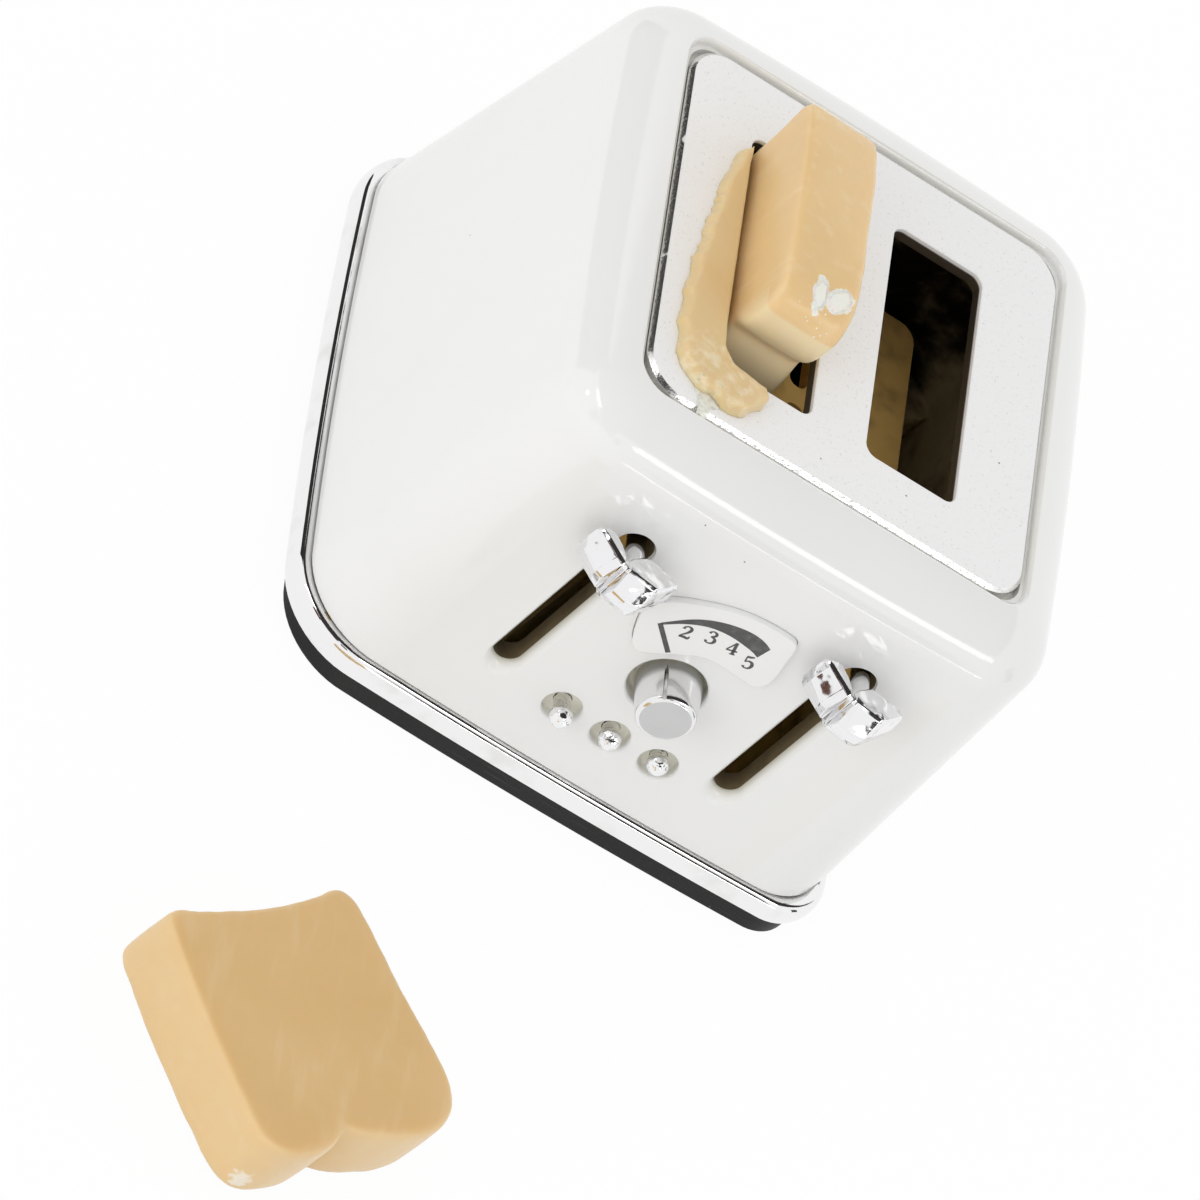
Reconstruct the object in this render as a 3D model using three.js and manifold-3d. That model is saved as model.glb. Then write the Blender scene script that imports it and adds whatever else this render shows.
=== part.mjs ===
// A doll's house toaster, about one twelfth of full size: an enamelled cast housing with two bread
// slots, two lift levers that run on the front in slits, a dial with a printed scale, three push pins,
// a half-round chrome band and a black base. One slice stands in the left slot, its shaved crust lies
// beside it on the top plate, and a second slice lies on the table in front.
// Millimetres, +Z up. The front with the controls faces -Y. The origin is on the table, under the
// middle of the base.
import * as THREE from "three";
import { mergeVertices } from "three/addons/utils/BufferGeometryUtils.js";
import Module from "manifold-3d";

const wasm = await Module();
wasm.setup();

const millimetre = 1;
const degree = Math.PI / 180;
const overrun = 1 * millimetre; // how far every cut runs past the face that it opens

// Whole body
const baseWidth = 27; // across X, where the drafted sides would meet the table
const baseDepth = 27.4; // along Y
const overallHeight = 19.7;
const draftAngle = 4 * degree; // all four sides lean in
const cornerRadius = 3.9;
const sideBow = 0.2; // each side swells by this in its middle
const topFilletAcross = 3.2; // the top edge is rounded over a longer way across than down
const topFilletDown = 2.35;
const sharpCornerShares = [1, 1, 1, 0.64]; // band and base turn tighter at the front right
const footCornerShares = [1, 1, 1, 0.88]; // so does the housing's foot, a little
const wall = 1.4;
const topWall = 1.9;
const mechanismShift = -0.2; // slots and slits sit a little left of the middle

// Base plate and chrome band
const baseThickness = 0.95;
const baseInset = 0.33; // the black base stands back from the drafted outline
const bandHeight = 1.45;
const bandBulge = 0.32; // how far the half-round stands out from the housing's foot
const bandDepth = 1.15; // how far it reaches in under the housing
const rimWall = 1; // upstanding wall of the base plate, inside the band
const rimClearance = 0.15;

// Corner screws
const bossInset = 3.2; // from the foot's sides to the middle of each boss
const bossRadius = 1.5;
const bossHeight = 6;
const screwRadius = 0.4;
const screwLength = 4.4;
const screwClearance = 0.06;
const screwHeadRadius = 0.85;
const screwHeadHeight = 0.46;
const screwHeadSink = 0.14; // from the table up to the head's face
const screwCrossWidth = 0.26;
const screwCrossDepth = 0.22;

// Top plate and its seat
const plateMarginAcross = 3.9; // from the foot's sides in to the plate's edges
const plateMarginAlong = 4.275;
const plateBack = 0.25; // the plate sits this far behind the middle
const plateThickness = 0.7;
const plateCorner = 1.6;
const plateEdge = 0.24; // rolled edge of the stamping
const plateSink = 0.16; // the plate lies this far under the housing's rim
const seatGap = 0.14; // all round the plate
const seatCorner = 1.3;
const seatLip = 0.32; // soft enamelled lip round the seat
const ledgeWidth = 1.1;

// Bread slots
const slotWidth = 4.6;
const slotLength = 12.5;
const slotSpacing = 7.4;
const slotBack = 0.1; // the pair sits this far behind the middle
const slotCorner = 0.55;

// Front panel: heights are above the table
const leverSpacing = 11.3;
const slitWidth = 1.25;
const slitDrop = 8.18; // from the keyhole's centre to that of the slit's round lower end
const keyholeRadius = 0.85;
const keyholeDrop = 5.05; // from the top of the housing
const pocketDepth = 0.55;
const pocketHalfWidth = 1.08;
const pocketFloorHalfWidth = 0.72;
const pocketLowReach = 1.72; // from the centre of the slit's lower end to the pocket's rim
const pocketHighReach = 1.6;
const dialHeight = 9.33;
const dialRecessRadius = 1.68;
const dialRecessDepth = 0.8;
const recessLip = 0.12;
const pinHeight = 5.63;
const pinSpacing = 2.46;
const pinRecessRadius = 0.88;
const pinRecessDepth = 0.55;

// Printed scale: an arched plate above the dial
const scaleThickness = 0.42;
const scaleSeatDepth = 0.14;
const scaleSeatGap = 0.03;
const scaleReach = 5.8; // from the dial's axis to the plate's upper edge
const scaleOutlineShares = [
  [-0.625, 0.56],
  [-0.6, 0.66],
  [-0.53, 0.745],
  [-0.4, 0.83],
  [-0.24, 0.91],
  [-0.08, 0.967],
  [0.09, 0.995],
  [0.25, 1],
  [0.36, 0.985],
  [0.4, 0.93],
  [0.425, 0.8],
  [0.455, 0.67],
  [0.465, 0.57],
  [0.44, 0.49],
  [0.37, 0.46],
  [0.24, 0.468],
  [0.08, 0.474],
  [-0.05, 0.448],
  [-0.16, 0.37],
  [-0.28, 0.282],
  [-0.38, 0.215],
  [-0.44, 0.207],
  [-0.5, 0.255],
  [-0.555, 0.35],
  [-0.6, 0.46],
]; // of that reach, across and up from the dial's axis

// Lift levers
const leverTravel = 7.4; // down to the posts that hold the guide rods
const stemRadius = 0.45;
const stemClearance = 0.07;
const handleLength = 4.2;
const handleHeight = 1.75;
const handleDepth = 1.1;
const handleBulge = 0.45; // the grip's front stands out in its middle
const handleOut = 1.55; // from the panel to the grip's middle
const handleTurn = 18 * degree; // both necks are bent to the left by this much
const leverRise = { left: 0.05, right: 0.25 }; // the levers rest at unequal heights in their keyholes

// Carriages
const platformInner = 0.3; // from the middle plane to the platform's inner edge
const platformBossGap = 1.3; // the platforms pass the corner bosses by this
const platformFrontMargin = 3.8; // from the foot's front face
const platformBackMargin = 4.5;
const platformThickness = 0.6;
const platformDrop = 2.35; // below the stem
const platformCorner = 0.8;
const tabWidth = 2.4;
const tabThickness = 0.4;
const tabMargin = 2.75; // from the foot's front face to the tab's front face
const tabRise = 0.9; // above the stem
const rodRadius = 0.5;
const rodClearance = 0.12;
const rodInset = 2.15; // from the lever's stem towards the middle
const rodSetback = 1.4; // from the tab's front face
const rodFoot = 1.2; // height of the rod's lower end
const rodDrop = 2.4; // from the top of the housing to the end of the rod's upper bore
const rodFit = 0.04;
const sleeveRadius = 0.95;
const socketRadius = 1.1;
const socketGap = 0.4; // over the sleeve of the higher carriage
const clipRadius = 0.95;
const clipThickness = 0.25;
const clipGap = 0.05;
const crumbSlotWidth = 0.9;
const crumbSlotLength = 4.2;
const crumbSlotCount = 3;

// Dial
const dialBaseRadius = 1.33;
const dialRimRadius = 1.15;
const dialFaceRadius = 0.95;
const dialReach = 1.42; // from the panel to the knob's rim
const dialBevel = 0.28;
const dialFloorGap = 0.1;
const dialShaftRadius = 0.45;
const dialShaftClearance = 0.08;
const dialGrooveWidth = 0.16;
const dialGrooveDepth = 0.12;
const dialRest = 40 * degree; // the groove points at the start of the scale
const dialClipRadius = 1;
const dialClipThickness = 0.3;
const dialClipGap = 0.08;
const dialTail = 0.35; // how far the shaft stands out behind its clip

// Push pins: the three stand at unequal heights, as friction holds them
const pinDomeRadius = 0.62;
const pinShaftRadius = 0.32;
const pinShaftClearance = 0.07;
const pinTailRadius = 0.55;
const pinTailThickness = 0.3;
const pinTailGap = 0.12;
const pinStandShares = [0.55, 0.2, 0]; // of the dome's radius
const pinRestShare = 0.6; // of the dome's radius, between the recess floor and the lowest pin's shoulder

// Toast
const sliceHeight = 11.2;
const sliceBreadth = 11; // from the hollow bottom crust to the lobes
const sliceThickness = 3.6;
const sliceRound = 0.4;
const sliceCorner = 1.7;
const sliceHollow = 0.5;
const cleftDepth = 1;
const standingCleftShare = 0.35; // of the height, from the short lobe's side
const looseCleftShare = 0.43;
const standingSliceFace = 6.05; // left face, from the middle plane
const standingSliceBack = 6.25;
const looseSliceX = -13.45;
const looseSliceY = -28.7;
const looseSliceTurn = 37 * degree;

// Shaved crust on the top plate: it wraps round the slot's near left corner
const shavingThickness = 0.6;
const shavingEdge = 0.1;
const shavingReach = 8.4; // its length, which the outline below is drawn to
const shavingX = -6.35; // its inner edge along the standing slice
const shavingY = -1.2;
const shavingOutlineShares = [
  [0, 0.79],
  [-0.06, 0.74],
  [-0.09, 0.63],
  [-0.135, 0.5],
  [-0.15, 0.39],
  [-0.165, 0.27],
  [-0.19, 0.2],
  [-0.2, 0.05],
  [-0.235, -0.07],
  [-0.23, -0.17],
  [-0.255, -0.27],
  [-0.25, -0.38],
  [-0.265, -0.49],
  [-0.245, -0.62],
  [-0.24, -0.7],
  [-0.18, -0.77],
  [-0.11, -0.83],
  [-0.03, -0.845],
  [0.04, -0.88],
  [0.12, -0.86],
  [0.18, -0.84],
  [0.23, -0.78],
  [0.28, -0.74],
  [0.3, -0.68],
  [0.26, -0.63],
  [0.15, -0.615],
  [0.06, -0.6],
  [0.01, -0.54],
  [0, -0.4],
  [0, 0],
]; // of that length, across and along from (shavingX, shavingY)

const inward = Math.tan(draftAngle);
const panelFoot = -(baseDepth / 2 + sideBow); // the panel's plane where it would meet the table
const bandTop = baseThickness + bandHeight;
const bossX = baseWidth / 2 - bossInset;
const bossY = baseDepth / 2 - bossInset;
const plateWidth = baseWidth - 2 * plateMarginAcross;
const plateDepth = baseDepth - 2 * plateMarginAlong;
const keyholeHeight = overallHeight - keyholeDrop;
const slitLow = keyholeHeight - slitDrop;
const platformWidth = bossX - bossRadius - platformBossGap - platformInner;
const platformFront = baseDepth / 2 - platformFrontMargin;
const platformBack = baseDepth / 2 - platformBackMargin;
const platformTop = keyholeHeight - platformDrop;
const tabFace = baseDepth / 2 - tabMargin; // from the middle plane
const tabTop = keyholeHeight + tabRise;
const rodForward = tabFace - rodSetback;
const rodTop = overallHeight - rodDrop;
const upperSocketBottom = tabTop + Math.max(leverRise.left, leverRise.right) + socketGap;
const socketTop = platformTop - platformThickness - leverTravel;
const plateTop = overallHeight - plateSink;
const plateBottom = plateTop - plateThickness;
const seatWidth = plateWidth + 2 * seatGap;
const seatDepth = plateDepth + 2 * seatGap;
const leverPlaces = { left: mechanismShift - leverSpacing / 2, right: mechanismShift + leverSpacing / 2 };
const sideOf = { left: -1, right: 1 };

function material(colour, roughness, metalness) {
  return new THREE.MeshStandardMaterial({ color: colour, roughness, metalness });
}

const enamel = material(0xe9e8e4, 0.22, 0);
const plateEnamel = material(0xe2e2e1, 0.35, 0);
const labelEnamel = material(0xededea, 0.3, 0);
const chrome = material(0xd9d9d9, 0.12, 1);
const steel = material(0xb9b6ae, 0.35, 1);
const blackPlastic = material(0x232323, 0.4, 0);
const crust = material(0xd9b57c, 0.5, 0);
const crumb = material(0xdcbd8a, 0.55, 0);

// A closed three.js geometry as a solid that can be joined and cut.
function solidOf(geometry) {
  const bare = geometry.index ? geometry.toNonIndexed() : geometry.clone();
  for (const name of Object.keys(bare.attributes)) {
    if (name !== "position") bare.deleteAttribute(name);
  }
  const merged = mergeVertices(bare, 1e-5);
  return new wasm.Manifold(
    new wasm.Mesh({
      numProp: 3,
      vertProperties: merged.attributes.position.array,
      triVerts: new Uint32Array(merged.index.array),
    }),
  );
}

// The solid back as a flat-shaded geometry.
function geometryOf(solid) {
  const mesh = solid.getMesh();
  const places = new Float32Array(mesh.numVert * 3);
  for (let i = 0; i < mesh.numVert; i++) {
    places.set(mesh.vertProperties.subarray(i * mesh.numProp, i * mesh.numProp + 3), i * 3);
  }
  const indexed = new THREE.BufferGeometry();
  indexed.setAttribute("position", new THREE.BufferAttribute(places, 3));
  indexed.setIndex(new THREE.BufferAttribute(mesh.triVerts, 1));
  const geometry = indexed.toNonIndexed();
  geometry.computeVertexNormals();
  return geometry;
}

function join(first, ...others) {
  return others.reduce((whole, next) => whole.add(next), first);
}

function cut(body, ...tools) {
  return tools.reduce((rest, tool) => rest.subtract(tool), body);
}

function piece(name, solid, finish) {
  const mesh = new THREE.Mesh(geometryOf(solid), finish);
  mesh.name = name;
  return mesh;
}

// A closed solid through rings that all have the same number of points.
function loft(rings) {
  const count = rings[0].length;
  const places = rings.flatMap((ring) => ring.flatMap((p) => [p.x, p.y, p.z]));
  const faces = [];
  for (let r = 0; r + 1 < rings.length; r++) {
    for (let i = 0; i < count; i++) {
      const a = r * count + i;
      const b = r * count + ((i + 1) % count);
      faces.push(a, b, b + count, a, b + count, a + count);
    }
  }
  const cap = THREE.ShapeUtils.triangulateShape(rings[0].map((p) => new THREE.Vector2(p.x, p.y)), []);
  const last = (rings.length - 1) * count;
  for (const [a, b, c] of cap) faces.push(a, c, b, last + a, last + b, last + c);
  const geometry = new THREE.BufferGeometry();
  geometry.setAttribute("position", new THREE.Float32BufferAttribute(places, 3));
  geometry.setIndex(faces);
  return geometry;
}

// Outline of a rectangle with round corners and bowed sides, anticlockwise from the rear right corner.
function bowedOutline(width, depth, radius, bow, { steps = 6, sideSteps = 5, shares = [1, 1, 1, 1] } = {}) {
  const corners = [
    [1, 1],
    [-1, 1],
    [-1, -1],
    [1, -1],
  ].map(([sx, sy], k) => {
    const r = radius * shares[k];
    const centre = new THREE.Vector2(sx * (width / 2 - r), sy * (depth / 2 - r));
    return Array.from({ length: steps + 1 }, (_, i) => {
      const a = (Math.PI / 2) * (k + i / steps);
      return new THREE.Vector2(centre.x + r * Math.cos(a), centre.y + r * Math.sin(a));
    });
  });
  const points = [];
  corners.forEach((corner, k) => {
    points.push(...corner);
    if (bow <= 0) return;
    const from = corner[steps];
    const to = corners[(k + 1) % 4][0];
    const out = new THREE.Vector2(Math.cos((Math.PI / 2) * (k + 1)), Math.sin((Math.PI / 2) * (k + 1)));
    for (let i = 1; i < sideSteps; i++) {
      const t = i / sideSteps;
      points.push(from.clone().lerp(to, t).addScaledVector(out, bow * 4 * t * (1 - t)));
    }
  });
  return points;
}

function ringAt(outline, z) {
  return outline.map((p) => new THREE.Vector3(p.x, p.y, z));
}

// The housing's outline at a height, stepped in from the drafted face by inset.
function bodyRing(z, inset) {
  const shrink = z * inward + inset;
  const radius = Math.max(cornerRadius - (z * inward) / 3 - inset, cornerRadius / 6);
  const shares = footCornerShares.map((share) => THREE.MathUtils.lerp(share, 1, z / overallHeight));
  return ringAt(
    bowedOutline(baseWidth - 2 * shrink, baseDepth - 2 * shrink, radius, sideBow, { shares }),
    z,
  );
}

// The band's and the base's outline, stepped in from the sharp foot of the housing.
function footRing(z, inset) {
  const radius = cornerRadius - inset;
  const outline = bowedOutline(baseWidth - 2 * inset, baseDepth - 2 * inset, radius, sideBow, {
    shares: sharpCornerShares,
  });
  return ringAt(outline, z);
}

// A plain upright prism with round corners, from one height to another.
function roundedPrism(width, depth, radius, from, to, x = 0, y = 0) {
  const outline = bowedOutline(width, depth, radius, 0, { steps: 4 });
  return loft([ringAt(outline, from), ringAt(outline, to)]).translate(x, y, 0);
}

function uprightCylinder(radius, from, to, x = 0, y = 0, segments = 18) {
  const geometry = new THREE.CylinderGeometry(radius, radius, to - from, segments);
  return geometry.rotateX(Math.PI / 2).translate(x, y, (from + to) / 2);
}

// A turned shape from [radius, height] pairs, standing along +Z.
function turned(profile, segments = 32) {
  const points = profile.map(([r, h]) => new THREE.Vector2(r, h));
  return new THREE.LatheGeometry(points, segments).rotateX(Math.PI / 2);
}

// Moves a shape made flat, with +Z out of the panel, to its place on the leaning front panel.
function onPanel(geometry, x, z) {
  return geometry
    .clone()
    .rotateX(Math.PI / 2 - draftAngle)
    .translate(x, panelFoot + z * inward, z);
}

// A group that stands on the front panel with its +Z straight out.
function panelGroup(x, z) {
  const group = new THREE.Group();
  group.position.set(x, panelFoot + z * inward, z);
  group.rotation.x = Math.PI / 2 - draftAngle;
  return group;
}

// An upright stadium between two centres.
function stadium(halfWidth, low, high, lowReach = halfWidth, highReach = halfWidth, steps = 10) {
  const points = [];
  for (let i = 0; i <= steps; i++) {
    const a = (Math.PI * i) / steps;
    points.push(new THREE.Vector2(halfWidth * Math.cos(a), high + highReach * Math.sin(a)));
  }
  for (let i = 0; i <= steps; i++) {
    const a = Math.PI + (Math.PI * i) / steps;
    points.push(new THREE.Vector2(halfWidth * Math.cos(a), low + lowReach * Math.sin(a)));
  }
  return points;
}

// The scooped pocket round a lever's slit: steep beside the slit, long and soft below it.
function pocketTool() {
  const rise = keyholeHeight - slitLow;
  const levels = [
    { out: -pocketDepth, share: 0 },
    { out: -pocketDepth * 0.55, share: 0.5 },
    { out: -pocketDepth * 0.25, share: 0.78 },
    { out: 0, share: 1 },
    { out: overrun, share: 1 },
  ];
  const rings = levels.map(({ out, share }) => {
    const half = THREE.MathUtils.lerp(pocketFloorHalfWidth, pocketHalfWidth, share);
    const low = THREE.MathUtils.lerp(pocketFloorHalfWidth, pocketLowReach, share);
    const high = THREE.MathUtils.lerp(keyholeRadius + seatGap, pocketHighReach, share);
    return ringAt(stadium(half, 0, rise, low, high), out);
  });
  return loft(rings);
}

// A round recess with a soft lip, its floor at -depth.
function recessTool(radius, depth, lip, segments) {
  return turned(
    [
      [0, -depth],
      [radius, -depth],
      [radius, -lip],
      [radius + lip * 0.3, -lip * 0.3],
      [radius + lip, 0],
      [radius + lip, overrun],
      [0, overrun],
    ],
    segments,
  );
}

// A closed outline, drawn as shares of a reach, moved outwards by grow.
function closedShape(shares, reach, grow = 0) {
  const points = shares.map(([x, y]) => new THREE.Vector2(x * reach, y * reach));
  const outwards = THREE.ShapeUtils.isClockWise(points) ? grow : -grow;
  const moved = points.map((p, i) => {
    const before = points[(i + points.length - 1) % points.length];
    const after = points[(i + 1) % points.length];
    const along = after.clone().sub(before).normalize();
    return p.clone().add(new THREE.Vector2(-along.y, along.x).multiplyScalar(outwards));
  });
  return new THREE.Shape(moved);
}

function extruded(shape, depth, curveSegments = 8) {
  return new THREE.ExtrudeGeometry(shape, { depth, bevelEnabled: false, curveSegments });
}

function cornerPlaces() {
  return [
    ["front_left", -bossX, -bossY],
    ["front_right", bossX, -bossY],
    ["rear_left", -bossX, bossY],
    ["rear_right", bossX, bossY],
  ];
}

function rodPlace(side) {
  return { x: leverPlaces[side] - sideOf[side] * rodInset, y: -rodForward };
}

function slotPlace(side) {
  return { x: mechanismShift + (sideOf[side] * slotSpacing) / 2, y: slotBack };
}

function housing() {
  const filletSteps = 5;
  const outer = [bodyRing(bandTop, 0), bodyRing(overallHeight / 2, 0)];
  for (let i = 0; i <= filletSteps; i++) {
    const a = (90 * i * degree) / filletSteps;
    const z = overallHeight - topFilletDown * (1 - Math.sin(a));
    outer.push(bodyRing(z, topFilletAcross * (1 - Math.cos(a))));
  }
  const inner = [bodyRing(bandTop - overrun, wall), bodyRing(overallHeight - topWall, wall)];
  let shell = solidOf(loft(outer)).subtract(solidOf(loft(inner)));

  const bosses = cornerPlaces().map(([, x, y]) =>
    solidOf(uprightCylinder(bossRadius, bandTop, bandTop + bossHeight, x, y)),
  );
  const sockets = ["left", "right"].map((side) => {
    const { x, y } = rodPlace(side);
    return solidOf(uprightCylinder(socketRadius, upperSocketBottom, overallHeight - topWall / 2, x, y));
  });
  shell = join(shell, ...bosses, ...sockets);

  const seatFloor = plateBottom;
  const seat = bowedOutline(seatWidth, seatDepth, seatCorner, 0);
  const lip = bowedOutline(seatWidth + 2 * seatLip, seatDepth + 2 * seatLip, seatCorner + seatLip, 0);
  const shoulder = bowedOutline(seatWidth + seatLip / 2, seatDepth + seatLip / 2, seatCorner + seatLip / 4, 0);
  const seatTool = loft([
    ringAt(seat, seatFloor),
    ringAt(seat, overallHeight - seatLip),
    ringAt(shoulder, overallHeight - seatLip / 3),
    ringAt(lip, overallHeight),
    ringAt(lip, overallHeight + overrun),
  ]).translate(0, plateBack, 0);
  const opening = roundedPrism(
    seatWidth - 2 * ledgeWidth,
    seatDepth - 2 * ledgeWidth,
    seatCorner,
    overallHeight - topWall - overrun,
    overallHeight,
    0,
    plateBack,
  );
  shell = cut(shell, solidOf(seatTool), solidOf(opening));

  for (const side of ["left", "right"]) {
    const x = leverPlaces[side];
    const slit = loft([
      ringAt(stadium(slitWidth / 2, 0, keyholeHeight - slitLow), -wall - pocketDepth - overrun),
      ringAt(stadium(slitWidth / 2, 0, keyholeHeight - slitLow), 0),
    ]);
    const keyhole = turned([
      [0, -wall - pocketDepth - overrun],
      [keyholeRadius, -wall - pocketDepth - overrun],
      [keyholeRadius, 0],
      [0, 0],
    ]);
    shell = cut(
      shell,
      solidOf(onPanel(pocketTool(), x, slitLow)),
      solidOf(onPanel(slit, x, slitLow)),
      solidOf(onPanel(keyhole, x, keyholeHeight)),
    );
    const { x: rodX, y: rodY } = rodPlace(side);
    const bore = uprightCylinder(rodRadius + rodFit, upperSocketBottom - overrun, rodTop, rodX, rodY);
    shell = cut(shell, solidOf(bore));
  }

  const throughHole = (radius) =>
    turned(
      [
        [0, -wall - overrun],
        [radius, -wall - overrun],
        [radius, 0],
        [0, 0],
      ],
      16,
    );
  shell = cut(
    shell,
    solidOf(onPanel(recessTool(dialRecessRadius, dialRecessDepth, recessLip, 32), 0, dialHeight)),
    solidOf(onPanel(throughHole(dialShaftRadius + dialShaftClearance), 0, dialHeight)),
    solidOf(
      onPanel(
        extruded(closedShape(scaleOutlineShares, scaleReach, scaleSeatGap), overrun).translate(
          0,
          0,
          -scaleSeatDepth,
        ),
        0,
        dialHeight,
      ),
    ),
  );
  for (const step of [-1, 0, 1]) {
    shell = cut(
      shell,
      solidOf(onPanel(recessTool(pinRecessRadius, pinRecessDepth, recessLip, 20), step * pinSpacing, pinHeight)),
      solidOf(onPanel(throughHole(pinShaftRadius + pinShaftClearance), step * pinSpacing, pinHeight)),
    );
  }
  for (const [, x, y] of cornerPlaces()) {
    const pilot = uprightCylinder(
      screwRadius + screwClearance,
      bandTop - overrun,
      screwHeadSink + screwHeadHeight + screwLength + seatGap,
      x,
      y,
      12,
    );
    shell = cut(shell, solidOf(pilot));
  }
  return piece("housing", shell, enamel);
}

function topPlate() {
  const outline = (inset) =>
    bowedOutline(plateWidth - 2 * inset, plateDepth - 2 * inset, plateCorner - inset, 0);
  const edgeSteps = 4;
  const rings = [ringAt(outline(0), plateBottom)];
  for (let i = 0; i <= edgeSteps; i++) {
    const a = (90 * i * degree) / edgeSteps;
    rings.push(ringAt(outline(plateEdge * (1 - Math.cos(a))), plateTop - plateEdge * (1 - Math.sin(a))));
  }
  let plate = solidOf(loft(rings).translate(0, plateBack, 0));
  for (const side of ["left", "right"]) {
    const { x, y } = slotPlace(side);
    const slot = roundedPrism(slotWidth, slotLength, slotCorner, plateBottom - overrun, plateTop + overrun, x, y);
    plate = cut(plate, solidOf(slot));
  }
  return piece("top_plate", plate, plateEnamel);
}

function chromeBand() {
  const footInset = bandTop * inward;
  const steps = 8;
  const outer = [];
  for (let i = 0; i <= steps; i++) {
    const a = (-90 + (180 * i) / steps) * degree;
    const z = baseThickness + (bandHeight / 2) * (1 + Math.sin(a));
    outer.push(footRing(z, footInset - bandBulge * Math.cos(a)));
  }
  const inner = [baseThickness - overrun, bandTop + overrun].map((z) => footRing(z, footInset + bandDepth));
  return piece("chrome_band", cut(solidOf(loft(outer)), solidOf(loft(inner))), chrome);
}

function basePlate() {
  const edge = baseThickness / 8;
  const foot = loft([
    footRing(0, baseInset + edge),
    footRing(edge, baseInset),
    footRing(baseThickness, baseInset),
  ]);
  const rimInset = bandTop * inward + bandDepth + rimClearance;
  const rimShape = solidOf(loft([footRing(baseThickness / 2, rimInset), footRing(bandTop, rimInset)]));
  const rimHole = loft([0, bandTop + overrun].map((z) => footRing(z, rimInset + rimWall)));
  const posts = cornerPlaces().map(([, x, y]) =>
    solidOf(uprightCylinder(bossRadius, baseThickness / 2, bandTop, x, y)).intersect(rimShape),
  );
  const sockets = ["left", "right"].map((side) => {
    const { x, y } = rodPlace(side);
    return solidOf(uprightCylinder(socketRadius, baseThickness / 2, socketTop, x, y));
  });
  let plate = join(solidOf(foot), cut(rimShape, solidOf(rimHole)), ...posts, ...sockets);
  for (const side of ["left", "right"]) {
    const { x, y } = rodPlace(side);
    plate = cut(plate, solidOf(uprightCylinder(rodRadius + rodFit, rodFoot, socketTop + overrun, x, y)));
  }
  for (const [, x, y] of cornerPlaces()) {
    const seat = screwHeadSink + screwHeadHeight;
    plate = cut(
      plate,
      solidOf(uprightCylinder(screwHeadRadius + seatGap, -overrun, seat, x, y)),
      solidOf(uprightCylinder(screwRadius + screwClearance, 0, bandTop + overrun, x, y, 12)),
    );
  }
  return piece("base_plate", plate, blackPlastic);
}

// A pan-head screw driven up from below, with a cross in its head.
function cornerScrew(name, x, y) {
  const seat = screwHeadSink + screwHeadHeight;
  const crown = screwHeadHeight / 3;
  const body = turned(
    [
      [0, screwHeadSink],
      [screwHeadRadius * 0.8, screwHeadSink],
      [screwHeadRadius, screwHeadSink + crown],
      [screwHeadRadius, seat],
      [screwRadius, seat],
      [screwRadius, seat + screwLength - screwRadius],
      [0, seat + screwLength],
    ],
    16,
  );
  const arm = screwHeadRadius * 1.1;
  const bars = [
    new THREE.BoxGeometry(arm, screwCrossWidth, 2 * screwCrossDepth),
    new THREE.BoxGeometry(screwCrossWidth, arm, 2 * screwCrossDepth),
  ].map((bar) => solidOf(bar.translate(0, 0, screwHeadSink)));
  const screw = piece(name, cut(solidOf(body), ...bars), steel);
  screw.position.set(x, y, 0);
  return screw;
}

function guideRod(side) {
  const { x, y } = rodPlace(side);
  const chamfer = rodRadius / 4;
  const rod = turned(
    [
      [0, rodFoot],
      [rodRadius, rodFoot],
      [rodRadius, rodTop - chamfer - seatGap],
      [rodRadius - chamfer, rodTop - seatGap],
      [0, rodTop - seatGap],
    ],
    20,
  );
  const mesh = piece(`guide_rod_${side}`, solidOf(rod), steel);
  mesh.position.set(x, y, 0);
  return mesh;
}

function scaleLabel() {
  const holder = panelGroup(0, dialHeight);
  const plate = extruded(closedShape(scaleOutlineShares, scaleReach), scaleThickness);
  const label = piece("scale_label", solidOf(plate), labelEnamel);
  label.position.z = scaleSeatGap - scaleSeatDepth;
  holder.add(label);
  return holder;
}

// Depth of the wall's inner face behind the panel's plane, square to the panel.
const panelWall = wall * Math.cos(draftAngle);

function dial() {
  const holder = panelGroup(0, dialHeight);
  const foot = dialFloorGap - dialRecessDepth;
  const tail = -(panelWall + dialClipGap + dialClipThickness + dialTail);
  const knobShape = turned(
    [
      [0, tail],
      [dialShaftRadius, tail],
      [dialShaftRadius, foot],
      [dialBaseRadius, foot],
      [dialRimRadius, dialReach],
      [THREE.MathUtils.lerp(dialRimRadius, dialFaceRadius, 0.35), dialReach + dialBevel * 0.7],
      [dialFaceRadius, dialReach + dialBevel],
      [0, dialReach + dialBevel],
    ],
    40,
  );
  const groove = new THREE.BoxGeometry(dialGrooveWidth, 2 * dialGrooveDepth, dialReach - foot);
  groove.translate(0, dialRimRadius, (dialReach + foot) / 2 + dialReach / 3);
  const knob = piece("dial_knob", cut(solidOf(knobShape), solidOf(groove)), chrome);
  knob.rotation.z = dialRest;
  const clipShape = turned(
    [
      [dialShaftRadius + clipGap, 0],
      [dialClipRadius, 0],
      [dialClipRadius, dialClipThickness],
      [dialShaftRadius + clipGap, dialClipThickness],
      [dialShaftRadius + clipGap, 0],
    ],
    24,
  );
  const clip = piece("dial_clip", solidOf(clipShape), steel);
  clip.position.z = -(panelWall + dialClipGap + dialClipThickness);
  holder.add(knob, clip);
  return holder;
}

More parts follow.
